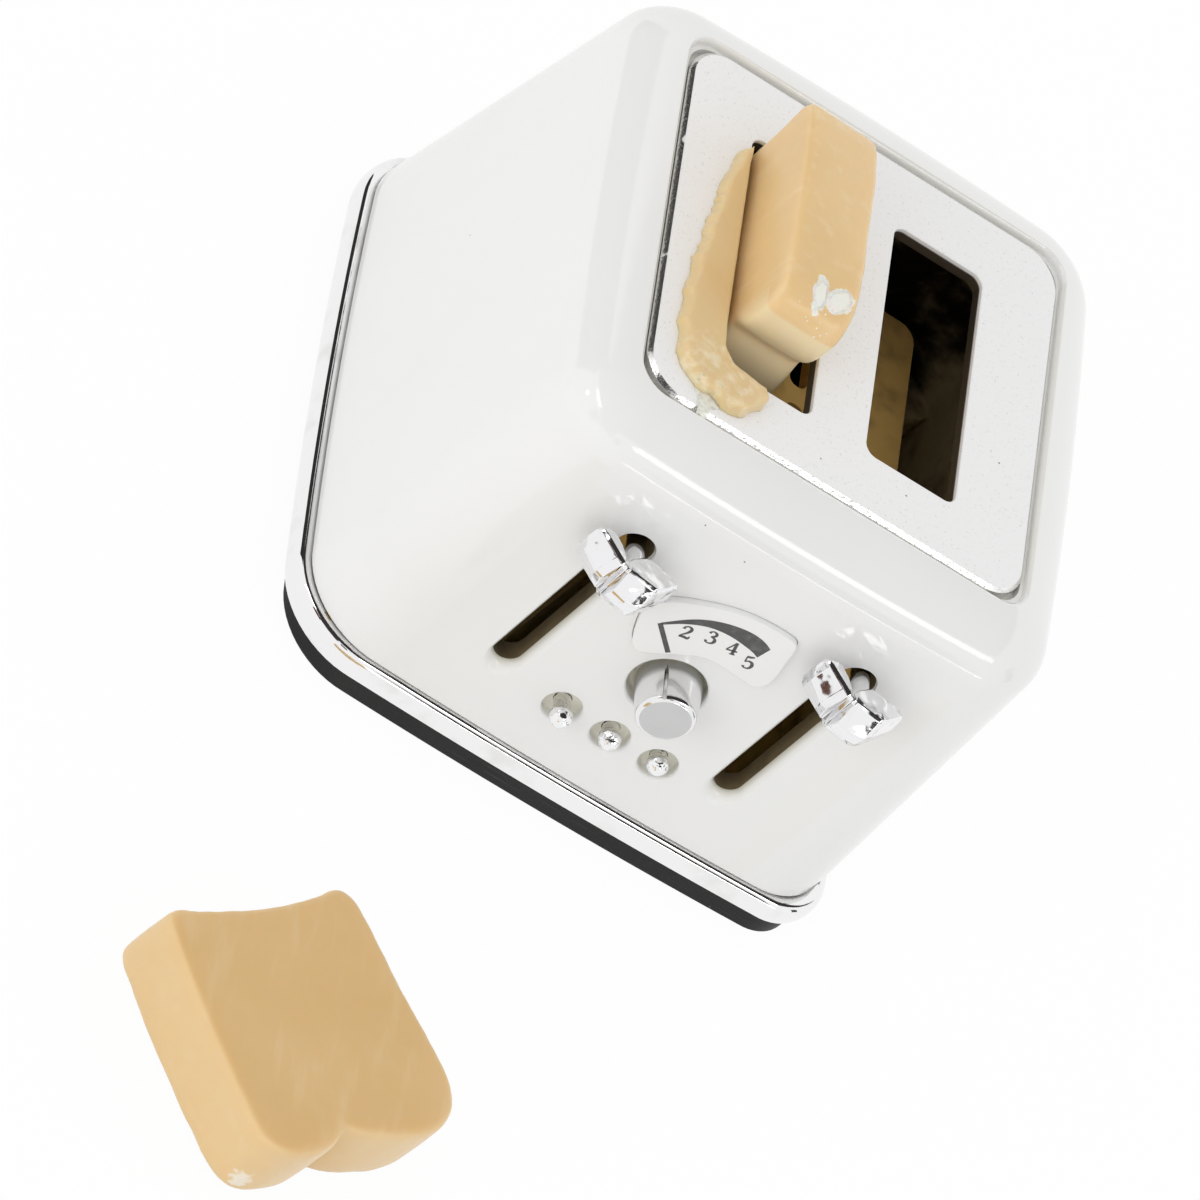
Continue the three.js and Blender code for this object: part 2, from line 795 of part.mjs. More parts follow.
// A ball-headed pin whose swaged tail keeps it in the wall.
function pushPin(name, x, standShare) {
  const holder = panelGroup(x, pinHeight);
  const centre = pinDomeRadius * (pinRestShare + standShare) - pinRecessDepth + pinDomeRadius / 2;
  const profile = [];
  const tailTop = -(panelWall + pinTailGap) + pinDomeRadius * standShare - pinDomeRadius * pinStandShares[0];
  profile.push([0, tailTop - pinTailThickness]);
  profile.push([pinTailRadius * 0.7, tailTop - pinTailThickness]);
  profile.push([pinTailRadius, tailTop - pinTailThickness / 2]);
  profile.push([pinTailRadius, tailTop]);
  profile.push([pinShaftRadius, tailTop]);
  const steps = 6;
  const start = Math.acos(pinShaftRadius / pinDomeRadius);
  for (let i = 0; i <= steps; i++) {
    const a = -start + ((Math.PI / 2 + start) * i) / steps;
    profile.push([i === steps ? 0 : pinDomeRadius * Math.cos(a), centre + pinDomeRadius * Math.sin(a)]);
  }
  const pin = piece(name, solidOf(turned(profile, 16)), chrome);
  holder.add(pin);
  return holder;
}

// The grip: a faceted bar whose two cushions meet at a ridge in the middle.
function gripRings() {
  const half = handleLength / 2;
  const stations = [
    { place: -1, size: 0.62, ridge: 0.1 },
    { place: -0.88, size: 0.9, ridge: 0.55 },
    { place: -0.55, size: 1, ridge: 0.8 },
    { place: -0.2, size: 0.97, ridge: 0.86 },
    { place: -0.09, size: 0.92, ridge: 0.8 },
    { place: 0, size: 1, ridge: 1.1 },
    { place: 0.09, size: 0.92, ridge: 0.8 },
    { place: 0.2, size: 0.97, ridge: 0.86 },
    { place: 0.55, size: 1, ridge: 0.8 },
    { place: 0.88, size: 0.9, ridge: 0.55 },
    { place: 1, size: 0.62, ridge: 0.1 },
  ];
  return stations.map(({ place, size, ridge }) => {
    const h = (handleHeight / 2) * size;
    const back = (handleDepth / 2) * size;
    const bow = handleBulge * (1 - place * place);
    const front = (handleDepth / 2) * THREE.MathUtils.lerp(0.55, 1, size) + bow * 0.75;
    const crest = front + handleBulge * 0.35 * ridge;
    const soft = h * 0.24;
    const section = [
      [back, h - soft],
      [back - soft, h],
      [-front * 0.72, h],
      [-front, h * 0.72],
      [-crest, 0],
      [-front, -h * 0.72],
      [-front * 0.72, -h],
      [back - soft, -h],
      [back, -h + soft],
    ];
    return section.map(([y, z]) => new THREE.Vector3(y, z, place * half));
  });
}

function leverHandle(side) {
  const z = keyholeHeight + leverRise[side];
  // The rings are drawn in depth and height along the length: turn the length to X and depth to Y.
  const axes = new THREE.Matrix4().makeBasis(
    new THREE.Vector3(0, 1, 0),
    new THREE.Vector3(0, 0, 1),
    new THREE.Vector3(1, 0, 0),
  );
  const panelY = panelFoot + z * inward;
  const neckLength = handleOut / Math.cos(handleTurn);
  const grip = loft(gripRings()).applyMatrix4(axes).translate(0, -neckLength, 0);
  const neck = new THREE.CylinderGeometry(stemRadius, stemRadius, neckLength, 20).translate(0, -neckLength / 2, 0);
  const bend = new THREE.SphereGeometry(stemRadius, 20, 10);
  const outside = join(
    ...[grip, neck].map((shape) => solidOf(shape.rotateZ(-handleTurn).translate(0, panelY, 0))),
    solidOf(bend.translate(0, panelY, 0)),
  );
  const stemEnd = -tabFace + tabThickness + clipGap + 2 * clipThickness;
  const stem = new THREE.CylinderGeometry(stemRadius, stemRadius, stemEnd - panelY, 20);
  stem.translate(0, (stemEnd + panelY) / 2, 0);
  const handle = piece(`lever_handle_${side}`, join(outside, solidOf(stem)), chrome);
  handle.position.set(leverPlaces[side], 0, z);
  return handle;
}

function stemClip(side) {
  const ring = turned(
    [
      [stemRadius + clipGap, 0],
      [clipRadius, 0],
      [clipRadius, clipThickness],
      [stemRadius + clipGap, clipThickness],
      [stemRadius + clipGap, 0],
    ],
    20,
  ).rotateX(-Math.PI / 2);
  const clip = piece(`stem_clip_${side}`, solidOf(ring), steel);
  clip.position.set(leverPlaces[side], -tabFace + tabThickness + clipGap, keyholeHeight + leverRise[side]);
  return clip;
}

// A pressed platform with a front tab for the stem and a sleeve that runs on the guide rod.
function carriage(side) {
  const way = sideOf[side];
  const middle = way * (platformInner + platformWidth / 2);
  const length = platformFront + platformBack;
  const bottom = platformTop - platformThickness;
  const middleY = (platformBack - platformFront) / 2;
  const deck = roundedPrism(platformWidth, length, platformCorner, bottom, platformTop, middle, middleY);
  const leverX = leverPlaces[side];
  const foot = new THREE.BoxGeometry(tabWidth, tabFace - platformFront + platformCorner, platformThickness);
  foot.translate(
    leverX,
    -(tabFace + platformFront - platformCorner) / 2,
    platformTop - platformThickness / 2,
  );
  const tab = new THREE.BoxGeometry(tabWidth, tabThickness, tabTop - bottom);
  tab.translate(leverX, -tabFace + tabThickness / 2, (tabTop + bottom) / 2);
  const { x: rodX, y: rodY } = rodPlace(side);
  const sleeve = uprightCylinder(sleeveRadius, bottom, tabTop, rodX, rodY);
  const neck = new THREE.BoxGeometry(2 * sleeveRadius, sleeveRadius, platformThickness);
  neck.translate(rodX, rodY + sleeveRadius / 2, platformTop - platformThickness / 2);
  let body = join(solidOf(deck), solidOf(foot), solidOf(tab), solidOf(sleeve), solidOf(neck));
  const stemHole = new THREE.CylinderGeometry(
    stemRadius + stemClearance,
    stemRadius + stemClearance,
    tabThickness + 2 * overrun,
    20,
  );
  stemHole.translate(leverX, -tabFace + tabThickness / 2, keyholeHeight);
  const rodHole = uprightCylinder(rodRadius + rodClearance, bottom - overrun, tabTop + overrun, rodX, rodY);
  body = cut(body, solidOf(stemHole), solidOf(rodHole));
  const pitch = length / (crumbSlotCount + 1);
  for (let i = 1; i <= crumbSlotCount; i++) {
    const slot = roundedPrism(
      crumbSlotWidth,
      Math.min(crumbSlotLength, pitch * 0.8),
      crumbSlotWidth / 2.2,
      bottom - overrun,
      platformTop + overrun,
      way * (platformInner + platformWidth / 4),
      -platformFront + pitch * i,
    );
    body = cut(body, solidOf(slot));
  }
  const mesh = piece(`carriage_${side}`, body, steel);
  mesh.position.z = leverRise[side];
  return mesh;
}

// A slice in its own frame: the height runs along X from the short lobe, the lobes face -Y.
function sliceGeometry(cleftShare) {
  const half = sliceHeight / 2;
  const r = sliceCorner;
  const cleft = -half + sliceHeight * cleftShare;
  const lobes = -sliceBreadth;
  const shape = new THREE.Shape();
  shape.moveTo(-half + r * 0.75, -sliceHollow * 0.1);
  shape.bezierCurveTo(-half + r * 0.3, r * 0.05, -half + r * 0.1, -r * 0.2, -half + r * 0.07, -r);
  shape.bezierCurveTo(-half - r * 0.05, lobes * 0.45, -half, lobes * 0.6, -half + r * 0.12, lobes + r * 1.1);
  shape.bezierCurveTo(-half + r * 0.2, lobes + r * 0.3, -half + r * 0.6, lobes, (cleft - half) / 2, lobes);
  shape.bezierCurveTo(cleft - r * 0.5, lobes, cleft - r * 0.12, lobes + cleftDepth * 0.5, cleft, lobes + cleftDepth);
  shape.bezierCurveTo(
    cleft + r * 0.15,
    lobes + cleftDepth * 0.5,
    cleft + r * 0.9,
    lobes + cleftDepth * 0.2,
    cleft + (half - cleft) * 0.5,
    lobes + cleftDepth * 0.1,
  );
  shape.bezierCurveTo(half - r * 0.8, lobes, half - r * 0.1, lobes + r * 0.4, half, lobes + r * 1.4);
  shape.bezierCurveTo(half, lobes * 0.6, half - r * 0.08, lobes * 0.4, half - r * 0.05, -r);
  shape.bezierCurveTo(half, -r * 0.2, half - r * 0.3, r * 0.05, half - r * 0.75, -sliceHollow * 0.1);
  shape.bezierCurveTo(
    half * 0.5,
    -sliceHollow * 1.25,
    -half * 0.5,
    -sliceHollow * 1.25,
    -half + r * 0.75,
    -sliceHollow * 0.1,
  );
  return new THREE.ExtrudeGeometry(shape, {
    depth: sliceThickness - 2 * sliceRound,
    bevelThickness: sliceRound,
    bevelSize: sliceRound,
    bevelOffset: -sliceRound,
    bevelSegments: 3,
    curveSegments: 4,
  }).translate(0, 0, sliceRound);
}

function standingSlice() {
  const geometry = sliceGeometry(standingCleftShare);
  // Height up, with the short lobe on top, thickness along +X from the left face, lobes to the front.
  const axes = new THREE.Matrix4().makeBasis(
    new THREE.Vector3(0, 0, -1),
    new THREE.Vector3(0, 1, 0),
    new THREE.Vector3(1, 0, 0),
  );
  geometry.applyMatrix4(axes);
  const slice = piece("toast_standing", solidOf(geometry), crust);
  slice.position.set(-standingSliceFace, standingSliceBack, platformTop + leverRise.left + sliceHeight / 2);
  return slice;
}

function looseSlice() {
  const slice = piece("toast_loose", solidOf(sliceGeometry(looseCleftShare)), crust);
  const holder = new THREE.Group();
  holder.position.set(looseSliceX, looseSliceY, 0);
  holder.rotation.z = looseSliceTurn;
  holder.add(slice);
  return holder;
}

// The shaved crust: a thin sheet along the slot's left edge, thinner towards its ragged outside.
function crustShaving() {
  const outline = closedShape(shavingOutlineShares, shavingReach).getPoints();
  const inset = (amount) =>
    closedShape(shavingOutlineShares, shavingReach, -amount).getPoints();
  const rings = [
    ringAt(outline, 0),
    ringAt(outline, shavingEdge),
    ringAt(inset(shavingThickness / 6), shavingThickness * 0.7),
    ringAt(inset(shavingThickness / 3), shavingThickness),
  ];
  const shaving = piece("toast_shaving", solidOf(loft(rings)), crumb);
  shaving.position.set(shavingX, shavingY, plateTop);
  return shaving;
}

const toaster = new THREE.Group();
toaster.add(housing(), topPlate(), chromeBand(), basePlate());
for (const [corner, x, y] of cornerPlaces()) toaster.add(cornerScrew(`base_screw_${corner}`, x, y));
toaster.add(scaleLabel(), dial());
["left", "middle", "right"].forEach((place, i) => {
  toaster.add(pushPin(`button_${place}`, (i - 1) * pinSpacing, pinStandShares[i]));
});
for (const side of ["left", "right"]) {
  toaster.add(leverHandle(side), stemClip(side), carriage(side), guideRod(side));
}
toaster.add(standingSlice(), looseSlice(), crustShaving());

export default toaster;
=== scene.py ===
"""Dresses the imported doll's house toaster: enamel, chrome, black foot, printed scale and resin toast.

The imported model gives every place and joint. Shapes are worked out here in millimetres, with +Z up
and the controls on the -Y side, and each finished mesh is scaled to metres.
"""

import logging
import math
import random
from dataclasses import dataclass
from enum import Enum
from typing import Callable, Iterable, Sequence, Union

import bmesh
import bpy
from mathutils import Matrix, Vector, noise

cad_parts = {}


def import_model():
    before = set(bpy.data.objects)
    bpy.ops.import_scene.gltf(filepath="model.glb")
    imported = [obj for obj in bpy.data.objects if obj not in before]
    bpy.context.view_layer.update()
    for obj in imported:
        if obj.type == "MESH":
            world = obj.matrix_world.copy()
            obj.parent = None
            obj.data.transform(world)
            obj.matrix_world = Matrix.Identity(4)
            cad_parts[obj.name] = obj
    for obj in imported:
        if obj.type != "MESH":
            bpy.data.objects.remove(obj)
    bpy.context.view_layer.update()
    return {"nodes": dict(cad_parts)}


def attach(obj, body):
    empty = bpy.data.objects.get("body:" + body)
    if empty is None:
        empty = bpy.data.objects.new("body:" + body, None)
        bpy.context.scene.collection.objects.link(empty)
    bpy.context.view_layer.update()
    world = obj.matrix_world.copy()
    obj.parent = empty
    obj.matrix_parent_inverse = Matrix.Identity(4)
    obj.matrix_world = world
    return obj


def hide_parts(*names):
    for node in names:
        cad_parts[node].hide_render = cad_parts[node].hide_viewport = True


log = logging.getLogger("toaster")

MM = 0.001
OVERRUN = 1.0  # every cutter runs past the face that it opens by this

Colour = tuple[float, float, float]
Place = tuple[float, float, float]
Flat = tuple[float, float]
Spot = tuple[Place, float]
Ring = list[Vector]
Piece = bpy.types.Object


class Body(Enum):
    """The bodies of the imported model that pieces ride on."""

    TOASTER = "toaster"
    LEFT_LEVER = "left_lever"
    RIGHT_LEVER = "right_lever"
    DIAL = "dial"
    LEFT_BUTTON = "left_button"
    MIDDLE_BUTTON = "middle_button"
    RIGHT_BUTTON = "right_button"
    STANDING_TOAST = "standing_toast"
    LOOSE_TOAST = "loose_toast"
    CRUST_SHAVING = "crust_shaving"


class Side(Enum):
    """The two halves of the mechanism. The value is the direction along X."""

    LEFT = -1
    RIGHT = 1


# Node trees


def math_method(operation: str, swapped: bool = False) -> Callable[["Socket", "Value"], "Socket"]:
    """A method of Socket that adds one Math node, with the other value first where swapped."""

    def method(self: "Socket", other: "Value" = 0.0) -> "Socket":
        """Sends the two values through the node."""
        first, second = (other, self) if swapped else (self, other)
        return self.tree.node("ShaderNodeMath", {"operation": operation}, {0: first, 1: second})

    return method


class Socket:
    """An output of a node tree that takes part in sums. | gives the larger of two and & the smaller."""

    def __init__(self, tree: "Tree", raw: bpy.types.NodeSocket) -> None:
        """Wraps one output socket of a tree."""
        self.tree = tree
        self.raw = raw

    __add__ = math_method("ADD")
    __radd__ = math_method("ADD", swapped=True)
    __sub__ = math_method("SUBTRACT")
    __rsub__ = math_method("SUBTRACT", swapped=True)
    __mul__ = math_method("MULTIPLY")
    __truediv__ = math_method("DIVIDE")
    __pow__ = math_method("POWER")
    __or__ = math_method("MAXIMUM")
    __and__ = math_method("MINIMUM")
    __abs__ = math_method("ABSOLUTE")


Value = Union[float, Socket]


class Tree:
    """A node tree that is being built, for a shader or for geometry."""

    def __init__(self, raw: bpy.types.NodeTree) -> None:
        """Starts on an empty tree."""
        self.raw = raw

    def feed(self, raw: bpy.types.NodeSocket, value: object) -> None:
        """Links a socket, or sets its constant."""
        if isinstance(value, Socket):
            self.raw.links.new(value.raw, raw)
        else:
            raw.default_value = value

    def node(
        self,
        kind: str,
        settings: dict[str, object] | None = None,
        inputs: dict[int | str, object] | None = None,
        output: int | str = 0,
    ) -> Socket:
        """Adds one node.

        Args:
            kind: the node's type.
            settings: its own settings, set before its sockets.
            inputs: constants or sockets for its inputs, by index or name.
            output: the output that is returned.

        Returns:
            The chosen output.
        """
        made = self.raw.nodes.new(kind)
        for key, value in (settings or {}).items():
            setattr(made, key, value)
        for key, value in (inputs or {}).items():
            self.feed(made.inputs[key], value)
        return Socket(self, made.outputs[output])

    def split(self, vector: Socket) -> tuple[Socket, Socket, Socket]:
        """The X, Y and Z of a vector."""
        parts = self.raw.nodes.new("ShaderNodeSeparateXYZ")
        self.feed(parts.inputs[0], vector)
        return tuple(Socket(self, out) for out in parts.outputs)


class ShaderTree(Tree):
    """The shader of a material or of the world. Its coordinates are in millimetres."""

    def __init__(self, owner: bpy.types.ID, end: str = "ShaderNodeOutputMaterial") -> None:
        """Clears the owner's tree and adds its output."""
        owner.use_nodes = True
        super().__init__(owner.node_tree)
        self.raw.nodes.clear()
        self.end = self.raw.nodes.new(end)

    def close(self, shader: Socket) -> None:
        """Ends the tree in a shader."""
        self.feed(self.end.inputs["Surface"], shader)

    def place(self, stretch: Place = (1, 1, 1)) -> Socket:
        """Object coordinates in millimetres, each times its stretch."""
        raw = self.node("ShaderNodeTexCoord", output="Object")
        factors = tuple(share / MM for share in stretch)
        return self.node("ShaderNodeVectorMath", {"operation": "MULTIPLY"}, {0: raw, 1: factors})

    def axes(self) -> tuple[Socket, Socket, Socket]:
        """X, Y and Z in millimetres."""
        return self.split(self.place())

    def behind_panel(self) -> Socket:
        """How far a place lies behind the front panel's plane, in millimetres."""
        _, y, z = self.axes()
        return (y - z * FRAME.lean - FRAME.panel_foot) * math.cos(FRAME.draft)

    def clouds(self, size: float, detail: float = 3, stretch: Place = (1, 1, 1)) -> Socket:
        """Noise between 0 and 1 whose features are about size millimetres."""
        inputs = {"Vector": self.place(stretch), "Scale": 1 / size, "Detail": detail}
        return self.node("ShaderNodeTexNoise", inputs=inputs)

    def cells(self, size: float) -> Socket:
        """Distance to the nearest of scattered points that lie about size millimetres apart."""
        return self.node("ShaderNodeTexVoronoi", inputs={"Vector": self.place(), "Scale": 1 / size}) * size

    def ramp(self, value: Value, low: float, high: float) -> Socket:
        """A smooth step from 0 at low to 1 at high."""
        inputs = {"Value": value, "From Min": low, "From Max": high}
        return self.node("ShaderNodeMapRange", {"interpolation_type": "SMOOTHSTEP"}, inputs)

    def fall(self, value: Value, low: float, high: float) -> Socket:
        """A smooth step from 1 at low to 0 at high."""
        return 1 - self.ramp(value, low, high)

    def specks(self, size: float, spacing: float, rarity: float) -> Socket:
        """A mask of small round specks.

        Args:
            size: a speck's radius in millimetres.
            spacing: how far the points lie apart.
            rarity: from 0, where each point shows, to 1, where none does.

        Returns:
            1 on a speck and 0 elsewhere.
        """
        dots = self.fall(self.cells(spacing), size * 0.6, size)
        kept = self.ramp(self.clouds(spacing * 2.7, 1), rarity, rarity + 0.02)
        return dots * kept

    def inside_plate(self) -> Socket:
        """How far a place lies inside the top plate's rounded outline, in millimetres."""
        corner = FRAME.plate_corner
        x, y, _ = self.axes()
        across = (abs(x) - (FRAME.plate_across / 2 - corner)) | 0.0
        along = (abs(y - FRAME.plate_back) - (FRAME.plate_along / 2 - corner)) | 0.0
        return corner - (across * across + along * along) ** 0.5

    def near(self, point: Place, reach: float, soft: float) -> Socket:
        """A mask of 1 round a point in millimetres, which falls to 0 from reach to reach plus soft.

        Args:
            point: the middle.
            reach: where the fall begins.
            soft: how wide the fall is.

        Returns:
            The mask.
        """
        inputs = {0: self.place(), 1: point}
        distance = self.node("ShaderNodeVectorMath", {"operation": "DISTANCE"}, inputs, 1)
        return self.fall(distance, reach, reach + soft)

    def paint(self, below: object, above: Colour, mask: Value) -> Socket:
        """Lays one colour over another where the mask is 1."""
        base = below if isinstance(below, Socket) else (*below, 1)
        return self.node("ShaderNodeMix", {"data_type": "RGBA"}, {0: mask, 6: base, 7: (*above, 1)}, 2)

    def bump(self, height: Socket, depth: float, below: Socket | None = None) -> Socket:
        """A normal from a height between 0 and 1 that stands for depth millimetres.

        Args:
            height: the height.
            depth: what a height of 1 stands for.
            below: a normal that this one is laid over.

        Returns:
            The normal.
        """
        inputs: dict[int | str, object] = {"Strength": 1, "Distance": depth * MM, "Height": height}
        if below is not None:
            inputs["Normal"] = below
        return self.node("ShaderNodeBump", inputs=inputs)

    def principled(self, **inputs: object) -> None:
        """Ends the tree in a Principled shader. Names hold _ for each space of the socket's name."""
        named: dict[int | str, object] = {}
        for key, value in inputs.items():
            if isinstance(value, tuple) and len(value) == 3 and "Radius" not in key:
                value = (*value, 1)
            named[key.replace("_", " ")] = value
        self.close(self.node("ShaderNodeBsdfPrincipled", inputs=named))


# Finishes


@dataclass(frozen=True)
class Finish:
    """A surface finish. Each kind draws its own shader.

    A pair of lengths in a finish is the range, in millimetres, over which one of its zones comes in
    or goes out.
    """

    name: str
    colour: Colour
    roughness: float

    def draw(self, tree: ShaderTree) -> None:
        """Draws the shader of the finish into an empty tree."""
        raise NotImplementedError

    def material(self) -> bpy.types.Material:
        """The material of this finish, made once."""
        found = bpy.data.materials.get(self.name)
        if found is None:
            found = bpy.data.materials.new(self.name)
            self.draw(ShaderTree(found))
        return found


@dataclass(frozen=True)
class Enamel(Finish):
    """Thick glossy enamel with pinholes, and a yellow-olive painted shade in the pockets and in the plate's
    groove.
    """

    shade: Colour = (0.85, 0.85, 0.83)
    # painted shade, laid in the pockets and in the groove round the top plate
    painted_shade: Colour = (0.8, 0.77, 0.62)
    pinhole: Colour = (0.12, 0.11, 0.1)
    pocket_depth: Flat = (0.03, 0.7)
    pocket_end: Flat = (1.7, 1.9)
    pocket_half: Flat = (9, 9.5)
    pocket_top: Flat = (16, 16.5)
    pocket_shade_share: float = 0.8
    groove_edge: Flat = (-0.5, -0.3)
    groove_level: Flat = (18, 18.2)
    groove_shade_share: float = 0.2

    def draw(self, tree: ShaderTree) -> None:
        """Draws the enamel."""
        pinholes = tree.specks(size=0.045, spacing=1.3, rarity=0.6)
        base = tree.paint(self.colour, self.shade, tree.ramp(tree.clouds(size=9, detail=2), 0.45, 0.8) * 0.45)
        x, _, z = tree.axes()
        depth = tree.behind_panel()
        # Painted shade where shade falls, in the pockets round the slits and in the groove round the top
        # plate.
        pocket = tree.ramp(depth, *self.pocket_depth) * tree.fall(depth, *self.pocket_end)
        pocket = pocket * tree.fall(abs(x), *self.pocket_half) * tree.fall(z, *self.pocket_top)
        base = tree.paint(base, self.painted_shade, pocket * self.pocket_shade_share)
        groove = tree.ramp(tree.inside_plate(), *self.groove_edge) * tree.ramp(z, *self.groove_level)
        base = tree.paint(base, self.painted_shade, groove * self.groove_shade_share)
        base = tree.paint(base, self.pinhole, pinholes)
        surface = tree.bump(1 - pinholes, 0.02, tree.bump(tree.clouds(size=2.4, detail=2), 0.006))
        rough = self.roughness + tree.clouds(size=0.9, detail=3) * 0.05 + pinholes * 0.4
        tree.principled(
            Base_Color=base, Roughness=rough, Normal=surface, Coat_Weight=0.12, Coat_Roughness=0.05
        )


@dataclass(frozen=True)
class SprayedPlate(Finish):
    """Grey-white sprayed paint with fine dark pinholes, worn to bright metal on the bevelled edge."""

    grey: Colour = (0.62, 0.62, 0.62)
    bright: Colour = (0.97, 0.97, 0.97)
    pinhole: Colour = (0.09, 0.085, 0.08)
    # the near-black of the slots' walls under the plate's top
    slot_wall_dark: Colour = (0.05, 0.04, 0.03)
    metal: Colour = (0.92, 0.92, 0.91)
    worn_edge: Flat = (0.15, 0.18)
    wall_under: Flat = (0.24, 0.14)
    wall_inside: Flat = (0.5, 0.6)

    def draw(self, tree: ShaderTree) -> None:
        """Draws the paint, the pinholes and the worn edge."""
        edge = tree.inside_plate()
        grain = tree.clouds(size=0.16, detail=2)
        worn = tree.fall(edge, *self.worn_edge) * tree.ramp(tree.clouds(size=1.1, detail=4), 0.28, 0.36)
        small = tree.specks(size=0.05, spacing=0.62, rarity=0.62)
        pinholes = small | tree.specks(size=0.09, spacing=2.3, rarity=0.66)
        fine = tree.ramp(tree.clouds(size=0.11, detail=2), 0.6, 0.78)
        base = tree.paint(self.colour, self.grey, fine * 0.6)
        base = tree.paint(base, self.bright, tree.ramp(grain, 0.6, 0.8) * 0.5)
        base = tree.paint(base, self.pinhole, pinholes)
        # The slots' walls under the plate's top are painted near-black.
        low, high = (FRAME.plate_top - under for under in self.wall_under)
        wall = tree.fall(tree.axes()[2], low, high) * tree.ramp(edge, *self.wall_inside)
        base = tree.paint(base, self.slot_wall_dark, wall)
        base = tree.paint(base, self.metal, worn)
        surface = tree.bump(1 - pinholes, 0.03, tree.bump(grain, 0.012))
        rough = self.roughness - worn * 0.2 + fine * 0.1
        tree.principled(Base_Color=base, Roughness=rough, Metallic=worn, Normal=surface)


@dataclass(frozen=True)
class Chrome(Finish):
    """Bright plating over a slightly uneven casting, with painted shade where it lies deep behind the panel.
    """

    wave: float = 0.01
    wave_size: float = 1.6
    cloudiness: float = 0.08
    hazy: Colour = (0.72, 0.71, 0.7)
    pit: Colour = (0.16, 0.13, 0.11)
    # painted shade for the part that lies deep behind the panel, inside the keyhole
    hole_shade: Colour = (0.2, 0.18, 0.13)
    hole_shade_behind: float | None = None
    hole_shade_reach: float = 0.6

    def draw(self, tree: ShaderTree) -> None:
        """Draws the plating, its ripple, pits and cloudy patches, and the painted shade of its part behind
        the panel.
        """
        haze = tree.ramp(tree.clouds(size=1.7, detail=4), 0.5, 0.72)
        pits = tree.specks(size=0.035, spacing=0.75, rarity=0.62)
        base = tree.paint(self.colour, self.hazy, haze * 0.5)
        base = tree.paint(base, self.pit, pits)
        # Painted shade: the part inside the panel's hole is darkened where shade falls.
        if self.hole_shade_behind is not None:
            deep = tree.ramp(tree.behind_panel(), self.hole_shade_behind, self.hole_shade_behind + self.hole_shade_reach)
            base = tree.paint(base, self.hole_shade, deep * 0.9)
        surface = tree.bump(1 - pits, 0.01, tree.bump(tree.clouds(self.wave_size, 1.5), self.wave))
        rough = self.roughness + haze * self.cloudiness + pits * 0.3
        tree.principled(Base_Color=base, Metallic=1.0, Roughness=rough, Normal=surface)


@dataclass(frozen=True)
class BlackPlastic(Finish):
    """Moulded black plastic with handling dust and hairline scratches."""

    dust: Colour = (0.22, 0.22, 0.22)
    worn: Colour = (0.03, 0.03, 0.03)
    scratch_stretch: Place = (0.15, 0.15, 4)

    def draw(self, tree: ShaderTree) -> None:
        """Draws the plastic."""
        scratches = tree.ramp(tree.clouds(0.5, 4, self.scratch_stretch), 0.62, 0.7)
        dust = tree.specks(size=0.05, spacing=0.9, rarity=0.6)
        base = tree.paint(self.colour, self.worn, tree.clouds(size=4, detail=3))
        base = tree.paint(base, self.dust, dust | scratches * 0.15)
        surface = tree.bump(tree.clouds(size=0.25, detail=2), 0.006)
        rough = self.roughness + scratches * 0.15 + dust * 0.3
        tree.principled(Base_Color=base, Roughness=rough, Normal=surface, Specular_IOR_Level=0.16)


@dataclass(frozen=True)
class GlossLabel(Finish):
    """The smooth lacquered face of the scale plate."""

    shade: Colour = (0.84, 0.84, 0.82)
    speck: Colour = (0.3, 0.3, 0.29)

    def draw(self, tree: ShaderTree) -> None:
        """Draws the lacquer."""
        drift = tree.clouds(size=1.8, detail=3)
        base = tree.paint(self.colour, self.shade, tree.ramp(drift, 0.5, 0.8) * 0.5)
        base = tree.paint(base, self.speck, tree.specks(size=0.03, spacing=0.8, rarity=0.66))
        rough = self.roughness + drift * 0.06
        tree.principled(Base_Color=base, Roughness=rough, Normal=tree.bump(drift, 0.006), Coat_Weight=0.4)


@dataclass(frozen=True)
class Ink(Finish):
    """Dark grey print, a little uneven."""

    thin: Colour = (0.16, 0.16, 0.16)

    def draw(self, tree: ShaderTree) -> None:
        """Draws the print."""
        patch = tree.ramp(tree.clouds(size=0.35, detail=3), 0.45, 0.75)
        base = tree.paint(self.colour, self.thin, patch * 0.6)
        tree.principled(Base_Color=base, Roughness=self.roughness + patch * 0.1)


@dataclass(frozen=True)
class BareInside(Finish):
    """The bare brown inside of the casting, darker towards its rear."""

    rear_dark: Colour = (0.006, 0.005, 0.004)
    rear_dark_from: float = 11.5
    rear_dark_reach: float = 1.5
    glint: Colour = (0.3, 0.26, 0.2)

    def draw(self, tree: ShaderTree) -> None:
        """Draws the brown casting, its darker rear and a few loose glints."""
        _, y, _ = tree.axes()
        patch = tree.clouds(size=2.2, detail=4)
        # Darker towards the rear.
        rear_darkness = tree.ramp(y + patch * 3, self.rear_dark_from, self.rear_dark_from + self.rear_dark_reach)
        glints = tree.specks(size=0.06, spacing=1.1, rarity=0.6)
        dark = tuple(share * 0.5 for share in self.colour)
        base = tree.paint(self.colour, dark, tree.ramp(patch, 0.45, 0.75))
        base = tree.paint(base, self.rear_dark, rear_darkness)
        base = tree.paint(base, self.glint, glints * 0.5)
        rough = self.roughness - glints * 0.3
        surface = tree.bump(patch, 0.05)
        tree.principled(Base_Color=base, Roughness=rough, Normal=surface, Specular_IOR_Level=0.25)


